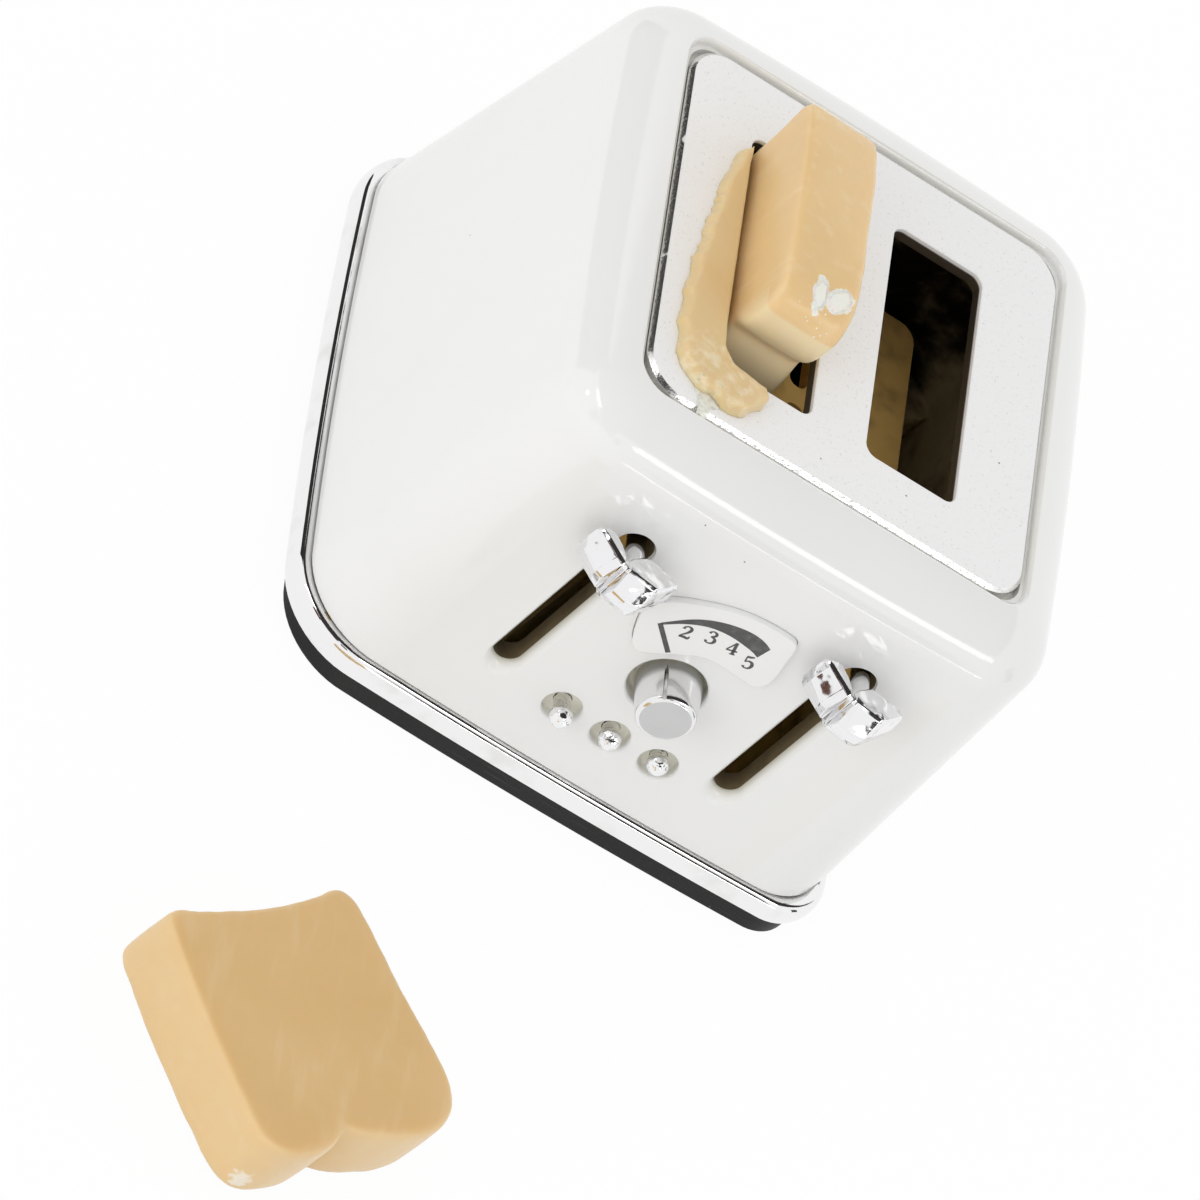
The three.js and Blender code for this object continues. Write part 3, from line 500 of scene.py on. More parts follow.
@dataclass(frozen=True)
class Steel(Finish):
    """Plain or tarnished sheet steel."""

    tarnish: Colour = (0.3, 0.24, 0.16)
    tarnished: float = 0.3
    drawn: Place = (0.2, 1, 1)

    def draw(self, tree: ShaderTree) -> None:
        """Draws the metal with its drawn grain and tarnish."""
        grain = tree.clouds(0.12, 3, self.drawn)
        patch = tree.ramp(tree.clouds(size=1.4, detail=4), 0.7 - self.tarnished, 1 - self.tarnished * 0.6)
        base = tree.paint(self.colour, self.tarnish, patch)
        rough = self.roughness + patch * 0.25 + grain * 0.1
        surface = tree.bump(grain, 0.004)
        tree.principled(Base_Color=base, Metallic=1 - patch * 0.6, Roughness=rough, Normal=surface)


@dataclass(frozen=True)
class Flake:
    """A white flake of chipped resin.

    Attributes:
        centre: its middle in millimetres.
        along: half of its length, as X and Y in millimetres.
        across: half of its width in millimetres.
        deep: how far it reaches up and down in millimetres.
    """

    centre: Place
    along: Flat
    across: float
    deep: float = 0.9

    def mask(self, tree: ShaderTree) -> Socket:
        """Falls from 1 at the flake's middle through 0 at its edge."""
        x, y, z = tree.axes()
        length = math.hypot(*self.along)
        ux, uy = (share / length for share in self.along)
        dx, dy = x - self.centre[0], y - self.centre[1]
        lengthways = (dx * ux + dy * uy) / length
        sideways = (dy * ux - dx * uy) / self.across
        rise = (z - self.centre[2]) / self.deep
        return 1 - (lengthways * lengthways + sideways * sideways + rise * rise) ** 0.5


@dataclass(frozen=True)
class ToastResin(Finish):
    """Satin cast resin with paler streaks and a milkier lower front, with flakes, specks and scuffs.

    Attributes:
        grain: how the streaks are stretched.
        scuffs, glints, crumbly: worn places, places of painted highlights made of crowded white specks, and
            rough places, each with its reach.
        top_shade_from: the height above which the top is painted browner, a painted shade.
        pale_below: the range along Y that ends the milky front of a slice, and its upper end.
    """

    pale: Colour = (0.9, 0.76, 0.5)
    deep: Colour = (0.72, 0.46, 0.18)
    milky: Colour = (0.9, 0.78, 0.52)
    dirt: Colour = (0.2, 0.14, 0.07)
    # the white of the specks, also used for the painted glint highlights
    light: Colour = (0.97, 0.94, 0.86)
    chalk: Colour = (0.93, 0.91, 0.84)
    grain: Place = (1, 0.18, 1)
    streaked: float = 0.12
    flakes: tuple[Flake, ...] = ()
    scuffs: tuple[Spot, ...] = ()
    # places where crowded white specks are painted as highlights
    glints: tuple[Spot, ...] = ()
    crumbly: Spot | None = None
    top_shade_from: float | None = None
    pale_below: tuple[Flat, float] | None = None

    def tinted(self, tree: ShaderTree) -> Socket:
        """The resin's colour, with its browner parts, the browner painted shade on the top, and its milky and
        streaked parts.
        """
        base = tree.paint(self.colour, self.deep, tree.ramp(tree.clouds(size=3.6, detail=3), 0.45, 0.8) * 0.3)
        _, y, z = tree.axes()
        # Painted shade: the top face is made browner above this height.
        if self.top_shade_from is not None:
            base = tree.paint(base, self.deep, tree.ramp(z, self.top_shade_from, self.top_shade_from + 0.2) * 0.65)
        if self.pale_below is not None:
            (front, rear), top = self.pale_below
            low_front = 1 - (tree.ramp(z, top - 0.2, top) | tree.ramp(y, front, rear))
            base = tree.paint(base, self.milky, low_front * 0.7)
        streaks = tree.clouds(0.7, 3, self.grain)
        return tree.paint(base, self.pale, tree.ramp(streaks, 0.5, 0.75) * self.streaked)

    def draw(self, tree: ShaderTree) -> None:
        """Draws the resin, its specks, the painted glint highlights, the white flakes and the scuffed and
        crumbly patches.
        """
        base = tree.paint(self.tinted(tree), self.dirt, tree.specks(size=0.03, spacing=1.7, rarity=0.66))
        dots = tree.specks(size=0.04, spacing=1.5, rarity=0.66)
        # Painted highlights: crowds of white specks stand in for glints round each glint's point.
        for point, reach in self.glints:
            crowd = tree.specks(size=0.045, spacing=0.2, rarity=0.45)
            dots = dots | crowd * tree.near(point, reach * 0.6, reach * 0.4)
        base = tree.paint(base, self.light, dots)
        wear = tree.clouds(size=0.35, detail=4)
        marks: Value = 0.0
        raised: Value = 0.0
        for flake in self.flakes:
            inside = flake.mask(tree) + (wear - 0.5) * 0.9
            marks = tree.ramp(inside, -0.02, 0.1) | marks
            raised = tree.ramp(inside, 0, 0.5) | raised
        for point, reach in self.scuffs:
            ragged = tree.near(point, 0, reach) + (wear - 0.5) * 1.3
            marks = tree.ramp(ragged, 0.55, 0.85) * 0.7 | marks
        base = tree.paint(base, self.chalk, marks)
        surface = tree.bump(tree.clouds(size=0.5, detail=3), 0.01)
        if isinstance(raised, Socket):
            surface = tree.bump(raised, 0.12, surface)
        if self.crumbly is not None:
            point, reach = self.crumbly
            patch = tree.near(point, reach * 0.6, reach * 0.5)
            grit = tree.clouds(size=0.5, detail=3)
            base = tree.paint(base, self.pale, patch * tree.ramp(grit, 0.42, 0.7) * 0.7)
            surface = tree.bump(grit * patch, 0.06, surface)
        tree.principled(
            Base_Color=base,
            Roughness=self.roughness + wear * 0.12,
            Normal=surface,
            Subsurface_Weight=0.45,
            Subsurface_Radius=(1.0, 0.55, 0.25),
            Subsurface_Scale=0.65 * MM,
            Coat_Weight=0.25,
            Coat_Roughness=0.12,
        )


@dataclass(frozen=True)
class ResinFilm(Finish):
    """A milky see-through skin of resin, pulled thin."""

    def draw(self, tree: ShaderTree) -> None:
        """Draws the skin."""
        ragged = tree.clouds(size=0.3, detail=4)
        alpha = tree.ramp(ragged, 0.3, 0.6) * 0.3 + 0.6
        tree.principled(Base_Color=self.colour, Roughness=self.roughness, Alpha=alpha)


ENAMEL = Enamel("enamel", (0.89, 0.89, 0.88), 0.07)
PLATE_PAINT = SprayedPlate("plate_paint", (0.93, 0.93, 0.93), 0.42)
BAND_CHROME = Chrome("band_chrome", (0.88, 0.88, 0.88), 0.05)
# The grip's stem gets painted shade where it goes into the keyhole.
GRIP_CHROME = Chrome("grip_chrome", (0.86, 0.86, 0.87), 0.08, wave=0.12, wave_size=1.1, hole_shade_behind=-0.45)
KNOB_CHROME = Chrome("knob_chrome", (0.84, 0.84, 0.84), 0.1, wave=0.012, wave_size=1.2)
KNOB_FACE = Steel("knob_face", (0.6, 0.6, 0.6), 0.3, tarnish=(0.54, 0.54, 0.54), tarnished=0.2)
PIN_CHROME = Chrome("pin_chrome", (0.88, 0.88, 0.88), 0.06, wave=0.1, wave_size=0.28)
FOOT_PLASTIC = BlackPlastic("foot_plastic", (0.014, 0.014, 0.014), 0.5)
LABEL_GLOSS = GlossLabel("label_gloss", (0.9, 0.9, 0.89), 0.16)
SCALE_INK = Ink("scale_ink", (0.07, 0.07, 0.07), 0.4)
CASTING_INSIDE = BareInside("casting_inside", (0.6, 0.48, 0.28), 0.8)
# The slits' raw edges: the bare brown, made darker as painted shade.
RAW_EDGE_IN_SHADE = BareInside("raw_edge_in_shade", (0.19, 0.145, 0.08), 0.8)
# The base's inside, brown and brightened as painted light that comes in through the slots.
BASE_INSIDE_LIT = BareInside("base_inside_lit", (0.95, 0.76, 0.36), 0.8)
SCREW_STEEL = Steel("screw_steel", (0.6, 0.59, 0.57), 0.3, tarnished=0.15)
# The carriage's own brown, brightened as painted light from above through the slots.
CARRIAGE_BROWN_LIT = BareInside("carriage_brown", (0.92, 0.6, 0.19), 0.75)
ROD_STEEL = Steel("rod_steel", (0.6, 0.59, 0.57), 0.25, tarnished=0.2)


# Mesh making, all in millimetres


def in_scene(name: str, data: bpy.types.ID) -> Piece:
    """A new object in the scene."""
    made = bpy.data.objects.new(name, data)
    bpy.context.scene.collection.objects.link(made)
    return made


def mesh_piece(name: str, points: Iterable[Sequence[float]], faces: Sequence[Sequence[int]]) -> Piece:
    """An object of a new mesh, in the scene."""
    mesh = bpy.data.meshes.new(name)
    mesh.from_pydata([tuple(p) for p in points], [], faces)
    mesh.update()
    return in_scene(name, mesh)


def card(name: str, x: float, y: float) -> Piece:
    """A flat rectangle round the origin, from its half sizes."""
    return mesh_piece(name, [(-x, -y, 0), (x, -y, 0), (x, y, 0), (-x, y, 0)], [(0, 1, 2, 3)])


def moved(piece: Piece, x: float, y: float, z: float = 0.0) -> Piece:
    """Moves the mesh of a piece."""
    piece.data.transform(Matrix.Translation((x, y, z)))
    return piece


def loft(name: str, rings: Sequence[Ring]) -> Piece:
    """A closed solid through rings of equally many points, anticlockwise seen from the last ring's end.

    Args:
        name: the object's name.
        rings: the cross-sections in order.

    Returns:
        The solid.
    """
    count = len(rings[0])
    points = [p for ring in rings for p in ring]
    faces = []
    for r in range(len(rings) - 1):
        for i in range(count):
            a = r * count + i
            b = r * count + (i + 1) % count
            faces.append((a, b, b + count, a + count))
    last = (len(rings) - 1) * count
    faces.append(tuple(range(count - 1, -1, -1)))
    faces.append(tuple(range(last, last + count)))
    return mesh_piece(name, points, faces)


def turned(name: str, profile: Sequence[Flat], segments: int) -> Piece:
    """A turned solid round Z from (radius, height) pairs that start and end on the axis, going up.

    Args:
        name: the object's name.
        profile: the pairs.
        segments: faces round the axis.

    Returns:
        The solid.
    """
    points: list[Place] = [(0, 0, profile[0][1])]
    faces: list[tuple[int, ...]] = []
    rows = profile[1:-1]
    for radius, height in rows:
        for i in range(segments):
            a = 2 * math.pi * i / segments
            points.append((radius * math.cos(a), radius * math.sin(a), height))
    points.append((0, 0, profile[-1][1]))
    end = len(points) - 1
    for i in range(segments):
        j = (i + 1) % segments
        faces.append((0, 1 + j, 1 + i))
        for r in range(len(rows) - 1):
            base = 1 + r * segments
            faces.append((base + i, base + j, base + segments + j, base + segments + i))
        top = 1 + (len(rows) - 1) * segments
        faces.append((top + i, top + j, end))
    return mesh_piece(name, points, faces)


def drum(name: str, radius: float, low: float, high: float, segments: int) -> Piece:
    """A cylinder round Z between two heights."""
    return turned(name, [(0, low), (radius, low), (radius, high), (0, high)], segments)


def rounding(steps: int, turn: float = math.pi / 2) -> list[Flat]:
    """For each step of an edge's rounding, how far it has come across and how far it has yet to rise."""
    angles = [turn * i / steps for i in range(steps + 1)]
    return [(1 - math.cos(a), 1 - math.sin(a)) for a in angles]


def ring_at(outline: Iterable[Flat], z: float) -> Ring:
    """A flat outline lifted to a height."""
    return [Vector((x, y, z)) for x, y in outline]


def bowed_outline(
    across: float,
    along: float,
    radius: float,
    bow: float = 0.0,
    corner_steps: int = 14,
    side_steps: int = 20,
    shares: Sequence[float] = (1, 1, 1, 1),
) -> list[Flat]:
    """A rectangle with round corners and swelling sides, anticlockwise from the rear right corner.

    Args:
        across: size along X.
        along: size along Y.
        radius: corner radius.
        bow: how far each side swells in its middle.
        corner_steps: faces in each corner.
        side_steps: faces along each side where it swells.
        shares: each corner's own share of the radius.

    Returns:
        The outline's points.
    """
    signs = ((1, 1), (-1, 1), (-1, -1), (1, -1))
    corners = []
    for k, (sx, sy) in enumerate(signs):
        r = radius * shares[k]
        cx, cy = sx * (across / 2 - r), sy * (along / 2 - r)
        angles = [math.pi / 2 * (k + i / corner_steps) for i in range(corner_steps + 1)]
        corners.append([(cx + r * math.cos(a), cy + r * math.sin(a)) for a in angles])
    points: list[Flat] = []
    for k, corner in enumerate(corners):
        points += corner
        start, stop = corner[-1], corners[(k + 1) % 4][0]
        out = math.pi / 2 * (k + 1)
        for i in range(1, side_steps):
            t = i / side_steps
            swell = bow * 4 * t * (1 - t)
            x = start[0] + (stop[0] - start[0]) * t + math.cos(out) * swell
            y = start[1] + (stop[1] - start[1]) * t + math.sin(out) * swell
            points.append((x, y))
    return points


def stadium(half: float, rise: float, low_reach: float, high_reach: float, steps: int = 24) -> list[Flat]:
    """An upright stadium from a lower centre at 0 to an upper one at rise.

    Args:
        half: half of its width.
        rise: the upper centre's height.
        low_reach: how far it goes below the lower centre.
        high_reach: how far it goes above the upper centre.
        steps: points on each end.

    Returns:
        The outline's points.
    """
    points = []
    for i in range(steps + 1):
        a = math.pi * i / steps
        points.append((half * math.cos(a), rise + high_reach * math.sin(a)))
    for i in range(steps + 1):
        a = math.pi * (1 + i / steps)
        points.append((half * math.cos(a), low_reach * math.sin(a)))
    return points


def smooth_path(points: Sequence[Flat], steps: int, closed: bool = False) -> list[Flat]:
    """A Catmull-Rom curve through points.

    Args:
        points: the places that it passes.
        steps: pieces between two of them.
        closed: whether it ends at its start.

    Returns:
        The curve's points.
    """
    count = len(points)
    spans = count if closed else count - 1
    made: list[Flat] = []
    for k in range(spans):
        near = []
        for step in (-1, 0, 1, 2):
            i = (k + step) % count if closed else min(max(k + step, 0), count - 1)
            near.append(Vector(points[i]))
        a, b, c, d = near
        for i in range(steps):
            t = i / steps
            bend = (2 * a - 5 * b + 4 * c - d) * t**2 + (3 * b - a - 3 * c + d) * t**3
            p = 0.5 * (2 * b + (c - a) * t + bend)
            made.append((p.x, p.y))
    if not closed:
        made.append(tuple(points[-1]))
    return made


def runs_left(points: Sequence[Flat]) -> bool:
    """Whether a closed outline runs anticlockwise."""
    after = (*points[1:], points[0])
    return sum(a[0] * b[1] - b[0] * a[1] for a, b in zip(points, after)) > 0


def offset_outline(points: Sequence[Flat], grow: float) -> list[Flat]:
    """A closed outline moved outwards by grow, or inwards where that is negative.

    Args:
        points: the outline, anticlockwise.
        grow: the distance.

    Returns:
        The moved outline.
    """
    way = grow if runs_left(points) else -grow
    made = []
    for i, (x, y) in enumerate(points):
        before, after = Vector(points[i - 1]), Vector(points[(i + 1) % len(points)])
        along = (after - before).normalized()
        made.append((x + along.y * way, y - along.x * way))
    return made


def anticlockwise(points: Sequence[Flat]) -> list[Flat]:
    """The outline in anticlockwise order."""
    return list(points) if runs_left(points) else list(reversed(points))


def settle(piece: Piece) -> Piece:
    """Turns a piece and its modifiers into a plain mesh."""
    graph = bpy.context.evaluated_depsgraph_get()
    graph.update()
    done = piece.evaluated_get(graph)
    made = bpy.data.meshes.new_from_object(done, preserve_all_data_layers=True, depsgraph=graph)
    old = piece.data
    made.name = old.name + "_done"
    piece.modifiers.clear()
    piece.data = made
    if old.users == 0:
        bpy.data.meshes.remove(old)
    return piece


def carve(body: Piece, tools: Iterable[Piece], operation: str = "DIFFERENCE") -> None:
    """Cuts tools out of a body, or joins them to it, and removes the tools.

    Args:
        body: the piece that is changed.
        tools: the solids to cut or join.
        operation: DIFFERENCE or UNION.
    """
    for tool in tools:
        cutter = body.modifiers.new("carve", "BOOLEAN")
        cutter.operation = operation
        cutter.solver = "EXACT"
        cutter.object = tool
        settle(body)
        bpy.data.objects.remove(tool)


def bevelled(piece: Piece, width: float, angle: float = 40, segments: int = 3) -> Piece:
    """Rounds every edge that turns by more than angle degrees.

    Args:
        piece: the mesh.
        width: the bevel's width.
        angle: the least turn.
        segments: faces across the bevel.

    Returns:
        The piece.
    """
    edge = piece.modifiers.new("bevel", "BEVEL")
    edge.width = width
    edge.segments = segments
    edge.limit_method = "ANGLE"
    edge.angle_limit = math.radians(angle)
    return settle(piece)


def outwards(piece: Piece) -> Piece:
    """Points every face of a closed mesh outwards."""
    shape = bmesh.new()
    shape.from_mesh(piece.data)
    bmesh.ops.remove_doubles(shape, verts=shape.verts, dist=1e-5)
    bmesh.ops.recalc_face_normals(shape, faces=shape.faces)
    shape.to_mesh(piece.data)
    shape.free()
    return piece


def shaded(piece: Piece, crease: float = 32, weighted: bool = True) -> Piece:
    """Shades a piece smoothly, apart from edges sharper than crease degrees.

    Args:
        piece: the mesh.
        crease: the turn from which an edge stays sharp.
        weighted: whether large faces lead the normals.

    Returns:
        The piece.
    """
    piece.data.shade_smooth()
    piece.data.set_sharp_from_angle(angle=math.radians(crease))
    if weighted:
        normals = piece.modifiers.new("normals", "WEIGHTED_NORMAL")
        normals.mode = "FACE_AREA"
        normals.keep_sharp = True
        settle(piece)
    return piece


def wrinkled(
    piece: Piece,
    depth: float,
    size: float,
    seed: float,
    mask: Callable[[Vector], float] | None = None,
) -> Piece:
    """Moves each point along its normal by smooth noise.

    Args:
        piece: the mesh, dense enough for the noise.
        depth: the largest move.
        size: how large the noise's features are.
        seed: shifts the noise, so that no two pieces are alike.
        mask: how much of the move a point takes, all of it if not given.

    Returns:
        The piece.
    """
    shift = Vector((seed, seed * 1.7, seed * 0.6))
    moves = [
        vertex.normal * (noise.noise(vertex.co / size + shift) * depth * (mask(vertex.co) if mask else 1))
        for vertex in piece.data.vertices
    ]
    for vertex, move in zip(piece.data.vertices, moves):
        vertex.co += move
    piece.data.update()
    return piece


def remeshed(piece: Piece, grain: float, rounds: int) -> Piece:
    """Gives a closed form an even skin of small faces and softens its edges.

    Args:
        piece: the mesh.
        grain: the size of the faces.
        rounds: how often it is smoothed.

    Returns:
        The piece.
    """
    skin = piece.modifiers.new("skin", "REMESH")
    skin.mode = "VOXEL"
    skin.voxel_size = grain
    soft = piece.modifiers.new("soft", "SMOOTH")
    soft.factor = 0.5
    soft.iterations = rounds
    return settle(piece)


def finished(
    piece: Piece,
    finishes: Sequence[Finish],
    body: Body,
    nodes: Sequence[str] = (),
    choose: Callable[[bpy.types.MeshPolygon], int] | None = None,
) -> Piece:
    """Scales a piece to metres, dresses it and hands it to the frame.

    Args:
        piece: the mesh in millimetres, already in its place.
        finishes: the finishes that choose picks from.
        body: the body that it rides on.
        nodes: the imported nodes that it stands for.
        choose: picks the finish of each face in millimetres, the first one if not given.

    Returns:
        The piece.
    """
    piece.data.materials.clear()
    for finish in finishes:
        piece.data.materials.append(finish.material())
    if choose is not None:
        for face in piece.data.polygons:
            face.material_index = choose(face)
    piece.data.transform(Matrix.Scale(MM, 4))
    piece.data.update()
    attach(piece, body.value)
    if nodes:
        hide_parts(*nodes)
    log.info("%s: %d faces, rides on %s", piece.name, len(piece.data.polygons), body.value)
    return piece


# Geometry Nodes


class GrowthTree(Tree):
    """A Geometry Nodes tree with named inputs, run once on a seed mesh."""

    def __init__(self, name: str) -> None:
        """Makes the group with its geometry in and out."""
        super().__init__(bpy.data.node_groups.new(name, "GeometryNodeTree"))
        face = self.raw.interface
        face.new_socket(name="Geometry", in_out="OUTPUT", socket_type="NodeSocketGeometry")
        face.new_socket(name="Geometry", in_out="INPUT", socket_type="NodeSocketGeometry")
        self.start = self.raw.nodes.new("NodeGroupInput")
        self.end = self.raw.nodes.new("NodeGroupOutput")
        self.values: dict[str, object] = {}
        self.seed_geometry = Socket(self, self.start.outputs["Geometry"])

    def size(self, name: str, value: float) -> Socket:
        """Adds a named size with its value."""
        item = self.raw.interface.new_socket(name=name, in_out="INPUT", socket_type="NodeSocketFloat")
        self.values[item.identifier] = value
        return Socket(self, self.start.outputs[name])

    def boolean(self, operation: str, parts: Iterable[Socket], base: Socket | None = None) -> Socket:
        """Joins meshes, or takes them out of a base.

        Args:
            operation: UNION or DIFFERENCE.
            parts: the meshes.
            base: what they are taken out of, if they are.

        Returns:
            The result.
        """
        made = self.raw.nodes.new("GeometryNodeMeshBoolean")
        made.operation = operation
        if base is not None:
            self.feed(made.inputs["Mesh 1"], base)
        for part in parts:
            self.feed(made.inputs["Mesh 2"], part)
        return Socket(self, made.outputs[0])

    def finish(self, geometry: Socket, material: bpy.types.Material) -> None:
        """Ends the tree in Realize Instances and Set Material."""
        real = self.node("GeometryNodeRealizeInstances", inputs={0: geometry})
        dressed = self.node("GeometryNodeSetMaterial", inputs={"Geometry": real, "Material": material})
        self.feed(self.end.inputs["Geometry"], dressed)

    def run(self, name: str, seed: Piece) -> Piece:
        """Runs the tree on a seed mesh and returns the plain result."""
        seed.name = name
        grower = seed.modifiers.new("growth", "NODES")
        grower.node_group = self.raw
        for identifier, value in self.values.items():
            grower[identifier] = value
        settle(seed)
        bpy.data.node_groups.remove(self.raw)
        return seed


# The toaster


@dataclass(frozen=True)
class Frame:
    """The sizes that several sub-assemblies share, in millimetres."""

    across: float = 27
    along: float = 27.4
    height: float = 19.7
    draft: float = math.radians(4)
    corner: float = 3.9
    bow: float = 0.2
    wall: float = 1.4
    top_wall: float = 1.9
    foot_shares: tuple[float, ...] = (1, 1, 1, 0.64)
    shell_shares: tuple[float, ...] = (1, 1, 1, 0.88)
    base_thickness: float = 1.07
    band_height: float = 1.33
    shift: float = -0.2
    lever_spacing: float = 11.3
    keyhole_height: float = 14.65
    dial_height: float = 9.33
    pin_height: float = 5.63
    pin_spacing: float = 2.46
    plate_across: float = 19.2
    plate_along: float = 18.85
    plate_corner: float = 1.85
    plate_back: float = 0.25
    plate_top: float = 19.54
    plate_thickness: float = 0.7

    @property
    def lean(self) -> float:
        """How far a side moves in for each unit of height."""
        return math.tan(self.draft)

    @property
    def band_top(self) -> float:
        """Height of the chrome band's upper edge."""
        return self.base_thickness + self.band_height

    @property
    def panel_foot(self) -> float:
        """Y of the front panel's plane at the table."""
        return -(self.along / 2 + self.bow)

    def lever_x(self, side: Side) -> float:
        """X of a lever's slit."""
        return self.shift + side.value * self.lever_spacing / 2

    def panel(self, x: float, z: float) -> Matrix:
        """Places a shape whose +Z points out of the front panel."""
        turn = Matrix.Rotation(math.pi / 2 - self.draft, 4, "X")
        return Matrix.Translation((x, self.panel_foot + z * self.lean, z)) @ turn

    def corners(self, inset: float) -> list[Flat]:
        """Four places near the foot's corners, the front ones first."""
        x, y = self.across / 2 - inset, self.along / 2 - inset
        return [(-x, -y), (x, -y), (-x, y), (x, y)]

    def foot_ring(
        self, z: float, inset: float, left: float = 0.0, right: float = 0.0, front: float = 0.0
    ) -> Ring:
        """The outline of the band and the base, whose sides can be moved in by more than inset.

        Args:
            z: its height.
            inset: how far all sides move in.
            left, right, front: how much further one side moves.

        Returns:
            The ring.
        """
        across = self.across - 2 * inset - left - right
        along = self.along - 2 * inset - front
        outline = bowed_outline(across, along, self.corner - inset, self.bow, shares=self.foot_shares)
        return [point + Vector(((left - right) / 2, front / 2, 0)) for point in ring_at(outline, z)]


FRAME = Frame()


@dataclass
class Housing:
    """The enamelled casting with its slits, pockets, recesses and seats."""

    fillet_across: float = 3.2
    fillet_down: float = 2.35
    fillet_steps: int = 18
    foot_round: float = 0.14
    foot_steps: int = 3
    seat_gap: float = 0.18
    deep_gap: float = 0.03
    seat_step: float = 0.3
    seat_corner: float = 1.3
    seat_lip: float = 0.42
    seat_blend: float = 0.02
    seat_flare: float = 2.1
    ledge: float = 1.1
    slit_width: float = 1.25
    slit_low: float = 6.47
    slit_flare: float = 1.1
    keyhole_radius: float = 0.85
    keyhole_steps: int = 48
    pocket_depth: float = 0.55
    pocket_rim: float = 1.2
    pocket_low: float = 1.9
    pocket_high: float = 0.8
    roll_steps: int = 12
    keyhole_sink: float = 0.3
    dial_recess: float = 1.64
    dial_depth: float = 0.8
    pin_recess: float = 0.82
    pin_depth: float = 0.55
    dial_hole: float = 0.53
    pin_hole: float = 0.39
    lip: float = 0.16
    lip_steps: int = 6
    lip_turn: float = math.radians(78)
    lip_flare: float = 1.6
    boss_inset: float = 3.2
    boss_radius: float = 1.5
    boss_top: float = 8.4
    label_seat: float = 0.14
    label_gap: float = 0.03
    inside_share: float = 0.85  # of the wall, past which a face can lie inside
    down_limit: float = -0.5  # of a normal's Z, under which a face looks down
    raw_share: float = 1.1  # of the pocket's depth, behind which the slits' edges are bare
    margin: float = 0.1

    def ring(self, z: float, inset: float) -> Ring:
        """The drafted outline at a height, stepped in by inset."""
        shrink = z * FRAME.lean + inset
        radius = max(FRAME.corner - z * FRAME.lean / 3 - inset, FRAME.corner / 6)
        level = z / FRAME.height
        shares = [share + (1 - share) * level for share in FRAME.shell_shares]
        outline = bowed_outline(
            FRAME.across - 2 * shrink, FRAME.along - 2 * shrink, radius, FRAME.bow, shares=shares
        )
        return ring_at(outline, z)

    def shell(self) -> Piece:
        """The hollow casting with its bosses, before anything is cut in it."""
        foot = FRAME.band_top
        rings = [
            self.ring(foot + self.foot_round * across, self.foot_round * rise)
            for across, rise in rounding(self.foot_steps)
        ]
        rings.append(self.ring(FRAME.height / 2, 0))
        for across, rise in rounding(self.fillet_steps):
            rings.append(self.ring(FRAME.height - self.fillet_down * rise, self.fillet_across * across))
        body = loft("enamel_housing", rings)
        ends = (foot - OVERRUN, FRAME.height - FRAME.top_wall)
        carve(body, [loft("hollow", [self.ring(z, FRAME.wall) for z in ends])])
        bosses = []
        for x, y in FRAME.corners(self.boss_inset):
            bosses.append(moved(drum("boss", self.boss_radius, foot, self.boss_top, 24), x, y))
        carve(body, bosses, "UNION")
        return body

    def plate_seat(self) -> list[Piece]:
        """Cutters for the top plate's seat, its soft lip and the opening under it."""
        gap = 2 * self.seat_gap
        across, along = FRAME.plate_across + gap, FRAME.plate_along + gap
        floor = FRAME.plate_top - FRAME.plate_thickness
        narrow = 2 * self.seat_gap - 2 * self.deep_gap
        deep = bowed_outline(across - narrow, along - narrow, self.seat_corner)
        step = FRAME.plate_top - self.seat_step
        rings = [ring_at(deep, floor), ring_at(deep, step)]
        rings.append(ring_at(bowed_outline(across, along, self.seat_corner), step + self.seat_blend))
        lip = self.seat_lip
        for out, rise in rounding(self.lip_steps):
            grow = lip * out
            outline = bowed_outline(across + 2 * grow, along + 2 * grow, self.seat_corner + grow)
            rings.append(ring_at(outline, FRAME.height - lip * rise))
        flare = self.seat_flare * lip
        last = bowed_outline(across + flare, along + flare, self.seat_corner + lip)
        rings.append(ring_at(last, FRAME.height + OVERRUN))
        opening = bowed_outline(across - 2 * self.ledge, along - 2 * self.ledge, self.seat_corner)
        low = FRAME.height - FRAME.top_wall - OVERRUN
        shaft = loft("opening", [ring_at(opening, low), ring_at(opening, FRAME.height)])
        return [moved(tool, 0, FRAME.plate_back) for tool in (loft("seat", rings), shaft)]

    def recess(self, radius: float, depth: float, x: float, z: float) -> Piece:
        """A cutter for a round recess with a soft lip and a filleted floor.

        Args:
            radius: its radius.
            depth: its depth.
            x: its middle along X.
            z: its middle's height.

        Returns:
            The cutter.
        """
        lip = self.lip
        profile = [(0.0, -depth)]
        profile += [(radius - lip * up, -depth + lip * out) for out, up in rounding(self.lip_steps)]
        profile += [(radius + lip * out, -lip * up) for out, up in rounding(self.lip_steps, self.lip_turn)]
        profile += [(radius + lip * self.lip_flare, OVERRUN / 8), (0.0, OVERRUN / 8)]
        tool = turned("recess", profile, 48)
        tool.data.transform(FRAME.panel(x, z))
        return tool

    def hole(self, radius: float, x: float, z: float, segments: int = 32) -> Piece:
        """A cutter for a round hole through the front wall."""
        tool = drum("hole", radius, -FRAME.wall - self.pocket_depth - OVERRUN, 0, segments)
        tool.data.transform(FRAME.panel(x, z))
        return tool

